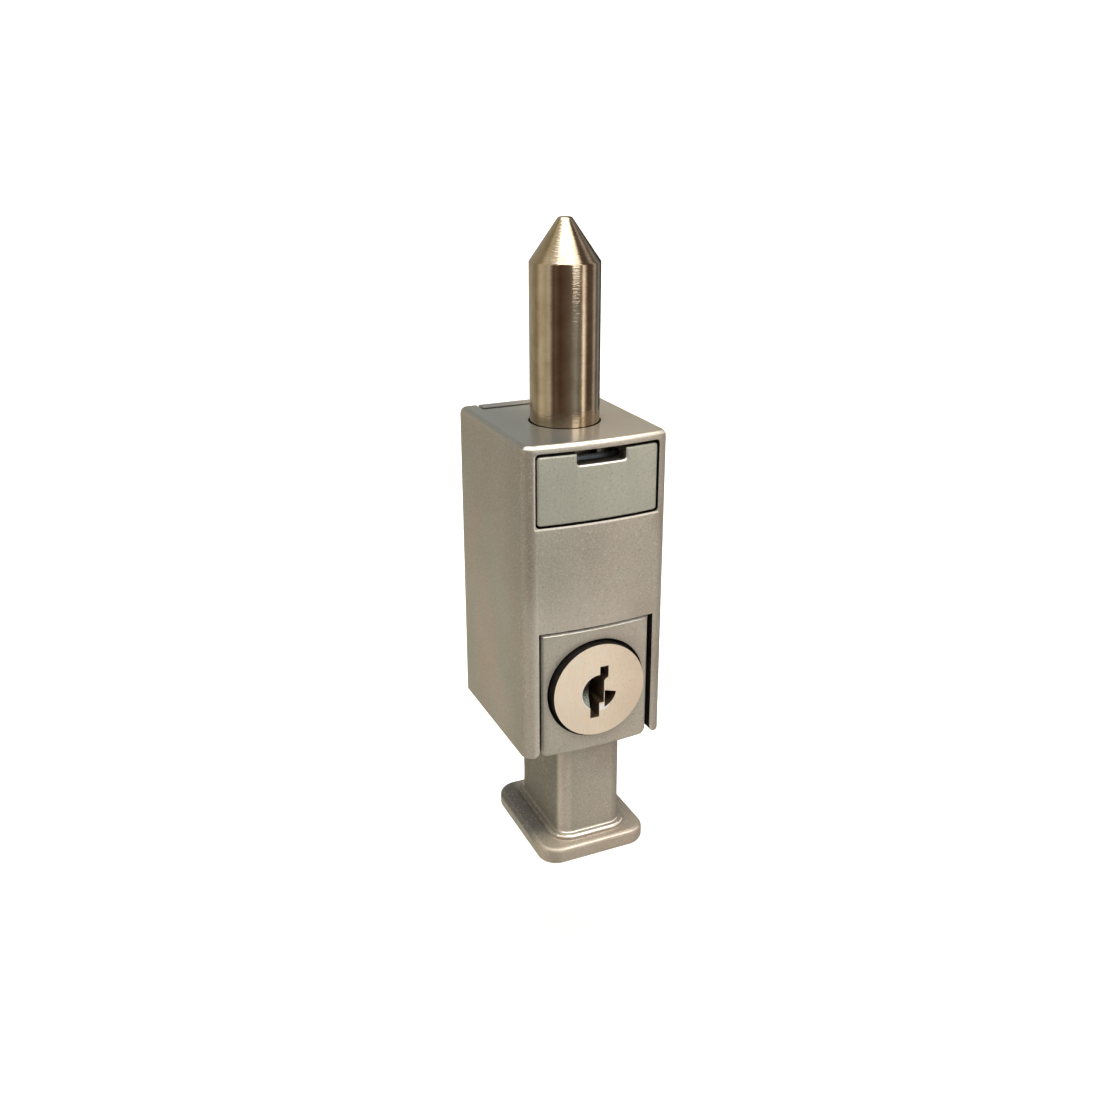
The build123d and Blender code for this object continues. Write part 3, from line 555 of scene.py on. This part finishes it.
# %% Turned pin
def turned_steel(name):
    """Noise pressed flat across the pin makes rings, and less flat makes short ticks."""
    material, recipe, place = start_finish(name)
    rings = noise(recipe, place, 1.0, detail=3.0, stretch=(0.02, 0.02, 11.0))
    coarse = noise(recipe, place, 1.0, detail=1.0, stretch=(0.05, 0.05, 1.4))
    scratch = noise(recipe, place, 1.0, detail=2.0, stretch=(0.35, 0.35, 20.0))
    chatter = noise(recipe, place, 1.0, detail=1.0, stretch=(1.1, 1.1, 7.0))
    plating = noise(recipe, place, 0.35, detail=3.0)
    colour = recipe.mix(plating.fade(0.3, 0.7), (0.47, 0.38, 0.28), (0.58, 0.50, 0.38))
    colour = recipe.mix(scratch.fade(0.62, 0.72) * 0.25, colour, (0.30, 0.27, 0.22))
    roughness = 0.07 + 0.08 * rings + 0.04 * plating
    height = rings * 0.6 + coarse * 0.4 + chatter * 3.6
    finish_surface(recipe, colour, roughness, height, bump=0.004)
    return material


pin_finish = turned_steel("turned_pin")
print("pin finish", pin_finish.name)

# %% [markdown]
# ## The lock's face
#
# The face of the plug is nickel plated brass, brushed upright with a fine belt. The strokes are
# long and thin, so the noise is stretched along the height. A few specks and tiny knocks show
# that keys have been pushed at it. The face is painted darker towards its right and its bottom,
# as painted shade, and the dish's rim and a crescent between the slot and the deep part of the
# dish get painted highlights.

# %% Brushed face
lock_z = (lock_low.z + lock_high.z) / 2
lock_front = lock_low.y
dish_drop = 0.35
dish_centre = lock_z - dish_drop
dish_radius = 2.69


def brushed_nickel(name):
    """Upright strokes with the marks of handling and of keys over them, painted shade to the right
    and the bottom, and painted highlights round the dish.
    """
    material, recipe, place = start_finish(name)
    strokes = noise(recipe, place, 1.0, detail=3.0, stretch=(6.0, 6.0, 0.5))
    broad = noise(recipe, place, 0.9, detail=3.0, roughness=0.6)
    handled = noise(recipe, place, 2.6, detail=4.0, roughness=0.7)
    speck = dots(recipe, place, 1.4, 0.05, 0.10)
    x, _, z = recipe.axes(place)
    flat = recipe.node("CombineXYZ", {}, {0: x, 2: z})
    from_dish = recipe.node(
        "VectorMath", {"operation": "DISTANCE"}, {0: flat, 1: (0, 0, dish_centre)}, output=1
    )
    rim = from_dish.fade(dish_radius - 0.09, dish_radius + 0.03)
    rim = (rim - from_dish.fade(dish_radius + 0.11, dish_radius + 0.21)) * (0 - x).fade(0.9, 1.4)
    crescent = (from_dish.fade(2.05, 2.15) - from_dish.fade(2.98, 3.10)) * x.fade(0.02, 0.12)
    crescent = crescent * (dish_centre - z).fade(1.2, 1.6) * x.fade(2.0, 1.1)
    nickel = recipe.mix(strokes.fade(0.3, 0.7), (0.97, 0.83, 0.66), (1.00, 0.89, 0.74))
    colour = recipe.layers(nickel, [
        (broad.fade(0.45, 0.7) * 0.5, (0.95, 0.89, 0.78)),
        # painted shade: darker towards the right and towards the bottom
        (x.fade(-1, 7) * 0.42, (0.62, 0.49, 0.36)),
        ((lock_z + 1 - z).fade(0, 6) * 0.18, (0.62, 0.50, 0.38)),
        (handled.fade(0.54, 0.68) * x.fade(-7, 5) * 0.45, (0.60, 0.50, 0.40)),
        (speck * 0.5, (0.35, 0.27, 0.20)),
        # painted highlights on the dish's rim and on a crescent below the slot
        (rim * 0.8, (1.0, 0.97, 0.92)),
        (crescent, (1.0, 1.0, 1.0)),
    ])
    roughness = 0.36 + 0.12 * strokes
    finish_surface(recipe, colour, roughness, strokes - speck, metallic=0.75, bump=0.004)
    return material


face_finish = brushed_nickel("brushed_face")
print("face finish", face_finish.name)

# %% [markdown]
# ## Painted shade in gaps and on walls, and painted highlights on edges
#
# The narrow gaps round the plug, the cover and the notch lie in shade, so they get a painted
# shade that is nearly black, and the walls in the keyway a dull, dark brass, which is painted
# shade too. Side walls get a dark grey painted shade, and edges that catch the light a near
# white, which is a painted highlight. These surfaces are small, so one recipe with two tones
# serves them all. In the dish the tones follow the height instead of the clouds, because its
# lower part turns to the light: its upper part gets a painted shade and its lower part a
# greenish painted glint.

# %% Finishes of the small surfaces
def dull_metal(name, tone, dark, roughness, lit_below=None):
    """Two tones in clouds, or light below one height and dark above it."""
    material, recipe, place = start_finish(name)
    clouds = noise(recipe, place, 1.1, detail=3.0)
    grain = noise(recipe, place, 5.0, detail=2.0)
    share = clouds.fade(0.3, 0.7)
    if lit_below is not None:
        z = recipe.axes(place)[2]
        share = z.fade(lit_below + 1.0, lit_below - 1.3)
    colour = recipe.mix(share, dark, tone)
    finish_surface(recipe, colour, roughness + 0.15 * grain, grain, metallic=0.6, bump=0.006)
    return material


# painted shade: nearly black, for the narrow gaps
gap_shade_finish = dull_metal("painted_gap_shade", (0.030, 0.026, 0.022), (0.015, 0.013, 0.012), 0.45)
# painted shade: the keyway walls get a dark brass
keyway_shade_finish = dull_metal("keyway_brass_painted_shade", (0.16, 0.11, 0.06), (0.07, 0.05, 0.035), 0.40)
# painted shade in the dish's upper part and a greenish painted glint in its lower part
dish_shade_and_glint = dull_metal(
    "dish_nickel_painted_shade_and_glint", (0.42, 0.49, 0.43), (0.03, 0.025, 0.02), 0.20, lit_below=dish_centre - 0.3
)
# painted highlight: a near white for edges that catch the light
highlight_finish = dull_metal("painted_highlight_edge", (0.97, 0.95, 0.90), (0.80, 0.75, 0.66), 0.25)
# painted shade: a dark grey for side walls in shade
wall_shade_finish = dull_metal("painted_shade_wall", (0.14, 0.13, 0.11), (0.09, 0.085, 0.075), 0.50)
small_finishes = (gap_shade_finish, keyway_shade_finish, dish_shade_and_glint, highlight_finish, wall_shade_finish)
print("small surfaces", [metal.name for metal in small_finishes])

# %% [markdown]
# ## The metals inside
#
# The strap, screws and cam are zinc plated, which is bluish with a faint yellow bloom. The
# springs and the ball are bright steel, and the lock's housing and wafers are bare brass that
# has darkened a little. They share one recipe: two tones in slow clouds, and a grain. The part
# of the strap that shows lies in the dim notch, so it gets a brighter zinc that isn't metallic,
# which is painted light.

# %% Plain metals
def plain_metal(name, tone, bloom, dark, roughness, metallic=1.0):
    """One tone with a bloom in slow clouds, and small dark spots."""
    material, recipe, place = start_finish(name)
    clouds = noise(recipe, place, 0.6, detail=3.0)
    grain = noise(recipe, place, 4.0, detail=3.0)
    spots = noise(recipe, place, 1.7, detail=4.0, roughness=0.7)
    colour = recipe.mix(clouds.fade(0.4, 0.65), tone, bloom)
    colour = recipe.mix(spots.fade(0.62, 0.75) * 0.5, colour, dark)
    roughness = roughness + 0.12 * grain
    finish_surface(recipe, colour, roughness, grain + spots, metallic=metallic, bump=0.006)
    return material


zinc = plain_metal("zinc_plate", (0.50, 0.58, 0.68), (0.66, 0.66, 0.58), (0.22, 0.24, 0.27), 0.24)
bright_steel = plain_metal(
    "bright_steel", (0.52, 0.52, 0.51), (0.62, 0.62, 0.60), (0.25, 0.24, 0.23), 0.20
)
bare_brass = plain_metal(
    "bare_brass", (0.74, 0.56, 0.27), (0.66, 0.50, 0.27), (0.30, 0.20, 0.10), 0.28
)
# painted light: a bright zinc that isn't metallic, for the strap in the dim notch
brightened_zinc = plain_metal(
    "brightened_zinc", (0.66, 0.82, 0.95), (0.78, 0.88, 0.96), (0.30, 0.38, 0.44), 0.40, metallic=0.0
)
print("plain metals", zinc.name, bright_steel.name, bare_brass.name, brightened_zinc.name)

# %% [markdown]
# ## Copies of the measured castings
#
# The measured meshes are loose triangles with knife-sharp edges. The real castings have edges
# that catch the light. So a copy is merged, its flat faces are joined up again, and its sharp
# edges that show get a small bevel. The measured mesh itself stays as it is.

# %% Selecting and editing
def only(piece):
    """Makes one object the selected and active one."""
    bpy.ops.object.select_all(action="DESELECT")
    piece.select_set(True)
    bpy.context.view_layer.objects.active = piece


def start_editing(piece):
    """Opens one piece in edit mode with all of it selected."""
    only(piece)
    bpy.ops.object.mode_set(mode="EDIT")
    bpy.ops.mesh.select_all(action="SELECT")


def stop_editing():
    """Goes back to object mode."""
    bpy.ops.object.mode_set(mode="OBJECT")


def new_piece(name, mesh):
    """An object for a mesh, at the origin and in the scene."""
    piece = bpy.data.objects.new(name, mesh)
    bpy.context.scene.collection.objects.link(piece)
    return piece


# %% Merging
merge_distance = 0.002
flat_within = 0.3


def merged_copy(node, name):
    """A copy of a measured node with its vertices merged and its flat faces joined."""
    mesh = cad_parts[node].data.copy()
    mesh.name = name
    mesh.materials.clear()
    piece = new_piece(name, mesh)
    only(piece)
    if mesh.has_custom_normals:
        bpy.ops.mesh.customdata_custom_splitnormals_clear()
    start_editing(piece)
    bpy.ops.mesh.remove_doubles(threshold=merge_distance * MM)
    bpy.ops.mesh.dissolve_limited(angle_limit=radians(flat_within))
    stop_editing()
    return piece


# %% Bevelling and shading
fine_edge = 0.12
sharp_from = 30


def soften(piece, width, wanted):
    """Bevels the sharp edges of a piece whose middle passes the test wanted(x, y, z) in mm."""
    only(piece)
    bpy.ops.object.mode_set(mode="EDIT")
    bpy.ops.mesh.select_mode(type="EDGE")
    bpy.ops.mesh.select_all(action="DESELECT")
    bpy.ops.mesh.edges_select_sharp(sharpness=radians(sharp_from))
    shape = bmesh.from_edit_mesh(piece.data)
    count = 0
    for edge in shape.edges:
        if edge.select:
            middle = (edge.verts[0].co + edge.verts[1].co) / (2 * MM)
            keep = wanted(*middle)
            edge.select_set(bool(keep))
            count += bool(keep)
    shape.select_flush_mode()
    bmesh.update_edit_mesh(piece.data)
    bpy.ops.mesh.bevel(offset=width * MM, segments=2, affect="EDGES", clamp_overlap=True)
    stop_editing()
    print(piece.name, "edges bevelled", count)


def smooth(piece, angle=32):
    """Shades a piece smooth, except over edges that are sharper than the angle."""
    only(piece)
    bpy.ops.object.shade_smooth_by_angle(angle=radians(angle))


# %% Joining and finishing
def join(main, other):
    """Joins another piece into the main one, which keeps its name."""
    only(main)
    other.select_set(True)
    bpy.ops.object.join()


def finished(piece, body, node, material):
    """Gives a piece its finish and its place in the assembly."""
    piece.data.materials.clear()
    piece.data.materials.append(material)
    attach(piece, body)
    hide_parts(node)
    print(piece.name, "faces", len(piece.data.polygons))


# %% [markdown]
# ## Several finishes on one piece
#
# A gap on the real bolt belongs to the same casting as the face beside it, and only looks darker
# because it lies in shade, so its faces get a painted shade, and edges that catch the light a
# painted highlight. The walls could be cut off as pieces of their own, but then their edges would
# have to be kept together. A mesh can hold several materials instead, and each face says by number
# which one it wears. So the faces are sorted by where they lie and which way they look.

# %% Sorting faces by finish
# slot numbers: the plain casting, painted shade in gaps, painted highlights on edges, painted
# shade on walls
plain, dark, highlit, shaded_wall = range(4)


def lay_out(piece, choose):
    """Gives every face the material slot that choose(middle in mm, normal) returns."""
    for face in piece.data.polygons:
        face.material_index = choose(face.center / MM, face.normal)


def darken_gaps(piece, choose):
    """Adds the painted shade for gaps and walls and the painted highlight for edges, and sorts the
    faces into them.
    """
    for metal in (gap_shade_finish, highlight_finish, wall_shade_finish):
        piece.data.materials.append(metal)
    lay_out(piece, choose)
    chosen = [face.material_index for face in piece.data.polygons]
    print(piece.name, "dark faces", chosen.count(dark), "rubbed faces", chosen.count(highlit))


def upper_edge(normal):
    """True on a rounding that looks up and to the front."""
    return normal.z > 0.3 and normal.y < -0.25


# %% [markdown]
# ## Outer case
#
# The case is a thin box with a crowned front, open at the back. Its front edges are softly
# rounded, and its rear edges lie on the door and stay sharp. The pin goes through its top with
# a thin dark ring round it. The measured hole is a little wider than that ring, so its rim is
# drawn in towards the pin. Moving those few points is simpler than a new hole, and the faces
# round them stay flat.

# %% Outer case
case_edge = 0.22
front_depth = 1.7
hole_radius = 5.18
hole_reach = 5.5
# above this z lies the top of the case, with its hole and the back plate's tab
upper_part = 20
pin_y = (pin_low.y + pin_high.y) / 2
case_shell = merged_copy("outer_case", "case_shell")
soften(case_shell, case_edge, lambda x, y, z: y < case_low.y + front_depth)
for vertex in case_shell.data.vertices:
    x, y, z = vertex.co / MM
    from_pin = Vector((x, y - pin_y))
    if z > upper_part and from_pin.length < hole_reach:
        near = from_pin.normalized() * hole_radius
        vertex.co = Vector((near.x, near.y + pin_y, z)) * MM
smooth(case_shell)
finished(case_shell, "case", "outer_case", case_finish)

# %% Faces of the case
# in front of this y a face belongs to the front of the bolt
front_part = -20
notch_half = 9.4
top_wall = 0.9
near_cover = 0.6


def case_gap(middle, normal):
    """Painted shade inside the window and the notch, and painted highlights along the window's
    edges.
    """
    if middle.y >= front_part:
        return plain
    inside = abs(middle.x) < notch_half and middle.z < case_top - top_wall
    if inside and (abs(normal.y) < 0.2 or normal.z < -0.3):
        return dark
    below = abs(middle.z - cover_low.z) < near_cover and abs(middle.x) < cover_high.x
    beside = abs(middle.x + cover_high.x) < near_cover and cover_low.z < middle.z < cover_high.z
    looks_right = normal.x > 0.3 and normal.y < -0.25
    return highlit if below and upper_edge(normal) or beside and looks_right else plain


darken_gaps(case_shell, case_gap)

# %% [markdown]
# ## Cover plate
#
# The cover is a thin plate that snaps into the window. It is made like the case, as a softened
# copy, but its bevel is narrower, because a thin plate has crisper edges. The lower edge of its
# pry notch gets a painted highlight, and the walls of its rim a painted shade.

# %% Cover plate
cover_edge_depth = 1.6
cover = merged_copy("cover_plate", "cover")
soften(cover, fine_edge, lambda x, y, z: y < cover_low.y + cover_edge_depth)
smooth(cover)
finished(cover, "cover", "cover_plate", cover_finish)


def cover_gap(middle, normal):
    """A painted highlight on the lower edge of the notch, and a painted shade on the walls."""
    in_notch = cover_low.z + 3 < middle.z < cover_high.z - 0.5
    if in_notch and upper_edge(normal):
        return highlit
    return shaded_wall if abs(normal.y) < 0.2 else plain


darken_gaps(cover, cover_gap)

# %% [markdown]
# ## The lock's plug
#
# The round face of the plug stands a little proud, in a mouth that lies in shade, so a dark
# crescent shows above it. The rim of the face gets a painted shade that is nearly black, and
# the walls of the keyway a dark brass that is painted shade too. The keyway is a stepped slot.
# In the photograph the face tapers a little to its front edge, and four corners of the slot lie
# some tenths of a millimetre beside the measured ones. The slot could be cut anew, but moving
# the corners of the copy is enough, and it keeps the walls straight.

# %% Plug
face_rim, face_taper, rim_depth = 7.2, 0.974, 0.4
slot_reach, slot_depth = 4.8, 8
# which corners, by their x and their rise above the lock's axis, and how far they move
keyway_moves = [
    (lambda x, z: 2.4 < z < 3.6 and 0 < x < 1.6, (0.0, 0.40)),
    (lambda x, z: 1.0 < z < 3.6 and 0.1 < x < 0.5, (-0.20, 0.0)),
    (lambda x, z: -4.3 < z < -3.6 and -1.5 < x < 0.3, (0.0, -0.25)),
    (lambda x, z: -4.3 < z < -1.2 and -1.30 < x < -1.1, (-0.16, 0.0)),
]
lock_plug = merged_copy("cylinder_plug", "lock_plug")
for vertex in lock_plug.data.vertices:
    x, y, z = vertex.co / MM
    rise = z - lock_z
    from_axis = Vector((x, rise)).length
    if from_axis > face_rim and y < lock_front + rim_depth:
        vertex.co = Vector((x * face_taper, y, lock_z + rise * face_taper)) * MM
    elif from_axis < slot_reach and y < lock_front + slot_depth:
        for wanted, (right, up) in keyway_moves:
            if wanted(x, rise):
                vertex.co += Vector((right, 0, up)) * MM
smooth(lock_plug)
finished(lock_plug, "plug", "cylinder_plug", face_finish)

# %% Faces of the plug
slot_end = 14
# painted shade for the rim of the face and for the walls of the keyway
for metal in (gap_shade_finish, keyway_shade_finish):
    lock_plug.data.materials.append(metal)


def plug_slot(middle, normal):
    """1, a black painted shade, on the rim of the face, and 2, a brass darkened as painted shade,
    on the walls of the keyway.
    """
    from_axis = Vector((middle.x, middle.z - lock_z)).length
    if from_axis > face_rim - 0.2 and abs(normal.y) < 0.6:
        return 1
    behind_face = 0.05 < middle.y - lock_front < slot_end
    return 2 if from_axis < slot_reach - 0.2 and behind_face else 0


lay_out(lock_plug, plug_slot)
in_slot = [face for face in lock_plug.data.polygons if face.material_index == 2]
print("plug faces in the keyway", len(in_slot))

# %% [markdown]
# ## The dish
#
# The keyway lies across a shallow round dish, which leads the key in. The measured dish is flat,
# but the real one slopes to its middle, so its lower part turns to the light. Anything round is
# made quickest by spinning a line, here one that falls in two slopes from the rim. What would
# lie over the slot is cut off, and the rest is joined to the plug.

# %% Dish
slot_left = -1.43


def spun(name, chain, centre, axis, steps):
    """Spins a chain of points, in mm, once round an axis and merges the two ends."""
    mesh = bpy.data.meshes.new(name)
    links = [(i, i + 1) for i in range(len(chain) - 1)]
    mesh.from_pydata([[value * MM for value in point] for point in chain], links, [])
    piece = new_piece(name, mesh)
    start_editing(piece)
    middle = [value * MM for value in centre]
    bpy.ops.mesh.spin(steps=steps, angle=2 * pi, center=middle, axis=axis, dupli=False)
    bpy.ops.mesh.select_all(action="SELECT")
    bpy.ops.mesh.remove_doubles(threshold=merge_distance * MM)
    stop_editing()
    return piece


dish_slope = [(-dish_radius, 0.03), (-1.75, 0.55), (-0.9, 0.85)]
dish = spun(
    "dish",
    [(x, lock_front + depth, dish_centre) for x, depth in dish_slope],
    (0, 0, dish_centre),
    (0, 1, 0),
    steps=64,
)
start_editing(dish)
bpy.ops.mesh.bisect(
    plane_co=(slot_left * MM, 0, 0), plane_no=(1, 0, 0), clear_outer=True, use_fill=False
)
if sum(face.normal.y for face in bmesh.from_edit_mesh(dish.data).faces) > 0:
    bpy.ops.mesh.select_all(action="SELECT")
    bpy.ops.mesh.flip_normals()
stop_editing()
smooth(dish, 40)
# the dish wears painted shade above and a painted glint below
dish.data.materials.append(dish_shade_and_glint)
print("dish faces", len(dish.data.polygons))
join(lock_plug, dish)
print("plug materials", [metal.name for metal in lock_plug.data.materials])

# %% [markdown]
# ## The bolt pin
#
# The pin is a turned part, so its mesh is made the same way: half of its outline is drawn as a
# chain of points and spun round the pin's axis. The tip and the shoulder get small radii, which
# the lathe tool leaves and which show as a thin bright line. A thinner shank begins just under
# the case's top, which keeps the ring between pin and hole deep and dark.

# %% Pin
pin_radius = (pin_high.x - pin_low.x) / 2
tip_z = pin_high.z
cone_height = 5.85
shoulder_z = tip_z - cone_height
shank_radius = 4.7
step_z = case_top - 0.04
pin_outline = [
    (0.0, pin_low.z),
    (shank_radius, pin_low.z),
    (shank_radius, step_z),
    (pin_radius - 0.05, step_z),
    (pin_radius, step_z + 0.05),
    (pin_radius, shoulder_z - 0.12),
    (pin_radius - 0.03, shoulder_z - 0.03),
    (pin_radius - 0.10, shoulder_z + 0.08),
    (1.25, tip_z - 0.50),
    (1.08, tip_z - 0.24),
    (0.88, tip_z - 0.08),
    (0.60, tip_z),
    (0.0, tip_z),
]


def face_outward(piece):
    """Turns every face of a closed piece outwards."""
    start_editing(piece)
    bpy.ops.mesh.normals_make_consistent(inside=False)
    stop_editing()


pin = spun(
    "pin", [(r, pin_y, z) for r, z in pin_outline], (0, pin_y, 0), (0, 0, 1), steps=96
)
face_outward(pin)
smooth(pin, 25)
finished(pin, "carriage", "bolt_pin", pin_finish)

# %% [markdown]
# ## The carriage
#
# The block in front, the stem and the foot are one casting. The block carries many holes, so it
# is a bevelled copy of the measured mesh, cut off where the stem begins. Its upper front edge
# gets a wider bevel than its other front edges, because it shows as a broader light line.

# %% Block of the carriage
block_edge = 0.24
block = merged_copy("carriage", "carriage_casting")
start_editing(block)
bpy.ops.mesh.bisect(
    plane_co=(0, 0, stem_joint * MM), plane_no=(0, 0, 1), clear_inner=True, use_fill=True
)
stop_editing()
block_front = min(v.co.y for v in block.data.vertices) / MM
block_top = max(v.co.z for v in block.data.vertices if v.co.y / MM < block_front + 0.3) / MM
soften(block, block_edge, lambda x, y, z: y < block_front + 1.0 and abs(z - block_top) < 0.3)
soften(block, fine_edge, lambda x, y, z: y < block_front + 1.4 and z < block_top - 0.5)
print("block front at y", round(block_front, 2), "block top at z", round(block_top, 2))

# %% [markdown]
# ## Stem, pad and foot
#
# Below the block a rounded stem stands on a pad and a foot, all with soft edges and hollow roots
# as a casting needs, to leave its mould. Bevelling a block where three such steps meet makes a
# tangle of small faces. The shape is the same rounded rectangle at every height, only larger or
# smaller, so it is built from the bottom as a stack of rings: one ring is extruded, and its
# points are laid on the next rectangle.

# %% Rings of the foot, the pad and the stem
def quarter(steps):
    """The angles of a quarter turn in equal steps."""
    return [k / steps * pi / 2 for k in range(steps + 1)]


def round_out(outline, level, width):
    """Rings of a rounded upper edge that ends at level."""
    return [(outline, width * (cos(a) - 1), level - width + width * sin(a)) for a in quarter(5)]


def round_under(outline, level, width):
    """Rings of a rounded lower edge that starts at level."""
    return [(outline, width * (sin(a) - 1), level + width * (1 - cos(a))) for a in quarter(5)]


def root(outline, level, width):
    """Rings of a hollow root that rises from level."""
    return [(outline, width * (1 - sin(a)), level + width * (1 - cos(a))) for a in quarter(4)]


# each ring has an outline, how far it is moved out from it, and its height
rings = (
    round_under(FOOT, foot_bottom, width=0.85)
    + round_out(FOOT, foot_top, width=0.80)
    + root(PAD, foot_top, width=0.20)
    + round_out(PAD, pad_top, width=0.42)
    + root(STEM, pad_top, width=0.40)
    + [(STEM, 0.0, stem_joint)]
)
print("stem rings", len(rings))

# %% Growing the stem
foot_y = -15.1
corner_steps = 10
ring_size = 4 * (corner_steps + 1)


def place_ring(vertices, outline, spread, level):
    """Lays a ring of vertices on a rounded rectangle, moved out by spread."""
    half_x, half_y, radius = outline
    corners = ((1, 1, 0.0), (-1, 1, pi / 2), (-1, -1, pi), (1, -1, 1.5 * pi))
    spots = [
        (
            side_x * (half_x - radius) + (radius + spread) * cos(start + a),
            foot_y + side_y * (half_y - radius) + (radius + spread) * sin(start + a),
            level,
        )
        for side_x, side_y, start in corners
        for a in quarter(corner_steps)
    ]
    for vertex, spot in zip(vertices, spots):
        vertex.co = Vector(spot) * MM


def turn_of(vertex):
    """The angle of a vertex round the ring, from 0 to a whole turn."""
    return atan2(vertex.co.y, vertex.co.x) % (2 * pi)


bpy.ops.object.select_all(action="DESELECT")
bpy.ops.mesh.primitive_circle_add(vertices=ring_size, radius=5 * MM, fill_type="NGON")
stem = bpy.context.object
stem.name = "stem"
bpy.ops.object.mode_set(mode="EDIT")
bpy.ops.mesh.select_mode(type="FACE")
shape = bmesh.from_edit_mesh(stem.data)
shape.verts.ensure_lookup_table()
ring = sorted(range(ring_size), key=lambda i: turn_of(shape.verts[i]))
place_ring([shape.verts[i] for i in ring], *rings[0])
for step in rings[1:]:
    # any small move will do, because place_ring then puts every new point in its place
    bpy.ops.mesh.extrude_region_move(TRANSFORM_OT_translate={"value": (0, 0, 0.01 * MM)})
    shape = bmesh.from_edit_mesh(stem.data)
    shape.verts.index_update()
    shape.verts.ensure_lookup_table()
    top = {v.index for v in next(f for f in shape.faces if f.select).verts}
    ends = [{e.other_vert(shape.verts[i]).index for e in shape.verts[i].link_edges} for i in ring]
    ring = [(near & top).pop() for near in ends]
    place_ring([shape.verts[i] for i in ring], *step)
bmesh.update_edit_mesh(stem.data)
bpy.ops.mesh.select_all(action="SELECT")
bpy.ops.mesh.remove_doubles(threshold=0.001 * MM)
stop_editing()
face_outward(stem)
print("stem faces", len(stem.data.polygons))

# %% [markdown]
# ## Joining the casting
#
# Block and stem are one casting, so they become one mesh. The lock's mouth in the block gets a
# painted shade that is nearly black. Its sides, which slide in the case, get a dark grey painted
# shade, and its upper front edge and the pad's front edge get painted highlights.

# %% Joining the casting
mouth_radius = 7.8
side_depth = 2.5
pad_half = 5.4
join(block, stem)
smooth(block)
finished(block, "carriage", "carriage", carriage_finish)


def block_gap(middle, normal):
    """Painted highlights on the edges of the block and the pad, and painted shade in the lock's
    mouth and on the sides.
    """
    on_pad = foot_top + 0.3 < middle.z < pad_top + 0.1 and abs(middle.x) < pad_half
    on_pad = on_pad and normal.y < -0.4
    if upper_edge(normal) and (abs(middle.z - block_top) < 0.4 or on_pad):
        return highlit
    if middle.z < stem_joint:
        return plain
    from_axis = Vector((middle.x, middle.z - lock_z)).length
    if from_axis < mouth_radius and middle.y < front_part:
        return dark
    return shaded_wall if abs(normal.x) > 0.9 and middle.y < block_front + side_depth else plain


darken_gaps(block, block_gap)

# %% [markdown]
# ## Guide strap
#
# A glimpse of the zinc plated strap shows through the pry notch, where its straight top edge
# catches the light. A merged copy with a small bevel is enough. Its front half, which shows, gets
# the brighter zinc that isn't metallic, painted light for the dim notch, and the rest keeps its
# plating.

# %% Strap
strap_middle = -12
strap = merged_copy("guide_strap", "strap")
soften(strap, fine_edge, lambda x, y, z: True)
smooth(strap)
# painted light: the strap's front half wears the bright zinc
finished(strap, "case", "guide_strap", brightened_zinc)
strap.data.materials.append(zinc)
lay_out(strap, lambda middle, normal: int(middle.y > strap_middle))

# %% [markdown]
# ## Back plate
#
# The tab of the back plate lies in a slot in the rear of the case's top. In the photograph the
# gap in front of it is a bold dark line, so the copy's tab ends a little further back and its
# front wall gets a painted shade.

# %% Plate
tab_gap = 0.45
plate = merged_copy("back_plate", "plate")
tab = [vertex for vertex in plate.data.vertices if vertex.co.z > upper_part * MM]
tab_front = min(vertex.co.y for vertex in tab) / MM
for vertex in tab:
    if vertex.co.y / MM < tab_front + 0.05:
        vertex.co.y += tab_gap * MM
smooth(plate)
finished(plate, "case", "back_plate", case_finish)
# painted shade on the front wall of the tab
darken_gaps(
    plate, lambda middle, normal: dark if middle.z > upper_part and normal.y < -0.7 else plain
)
print("tab front at y", round(tab_front, 2))

# %% [markdown]
# ## Finishes for the measured pieces
#
# The pieces inside have the right shape as they are, and only get their metal, by their material
# slots. The nodes that a new piece stands for are hidden, but get theirs too, so that no node is
# left bare.

# %% Metals for the measured nodes
metals = [
    (case_finish, ("outer_case", "cover_plate", "carriage", "back_plate")),
    (pin_finish, ("bolt_pin",)),
    (face_finish, ("cylinder_plug",)),
    (brightened_zinc, ("guide_strap",)),
    (zinc, ("keeper_stud", "case_screws", "bolt_cross_pin", "cylinder_retaining_pin")),
    (zinc, ("cam", "cam_washer", "cam_screw")),
    (bright_steel, ("cover_clip", "detent_ball", "detent_spring")),
    (bright_steel, ("wafer_springs", "plug_circlip")),
    (bare_brass, ("cylinder_body", "wafers")),
]
for metal, nodes in metals:
    for node in nodes:
        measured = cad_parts[node].data
        measured.materials.clear()
        measured.materials.append(metal)
print("nodes with a metal", sum(len(nodes) for metal, nodes in metals))

# %% [markdown]
# ## Closing
#
# The box of the finished looks is kept beside the box of the measured model, to see that nothing
# has grown. The colours go to the screen as they are, without the film look that Blender puts on
# by itself.

# %% Sizes
looks_box = [list(corner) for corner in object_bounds()]
for row, corner in enumerate(("low", "high")):
    growth = [round((looks_box[row][i] - cad_box[row][i]) / MM, 3) for i in range(3)]
    print(corner, growth, "mm from the CAD box")

# %% Finish
bpy.context.scene.view_settings.view_transform = "Standard"
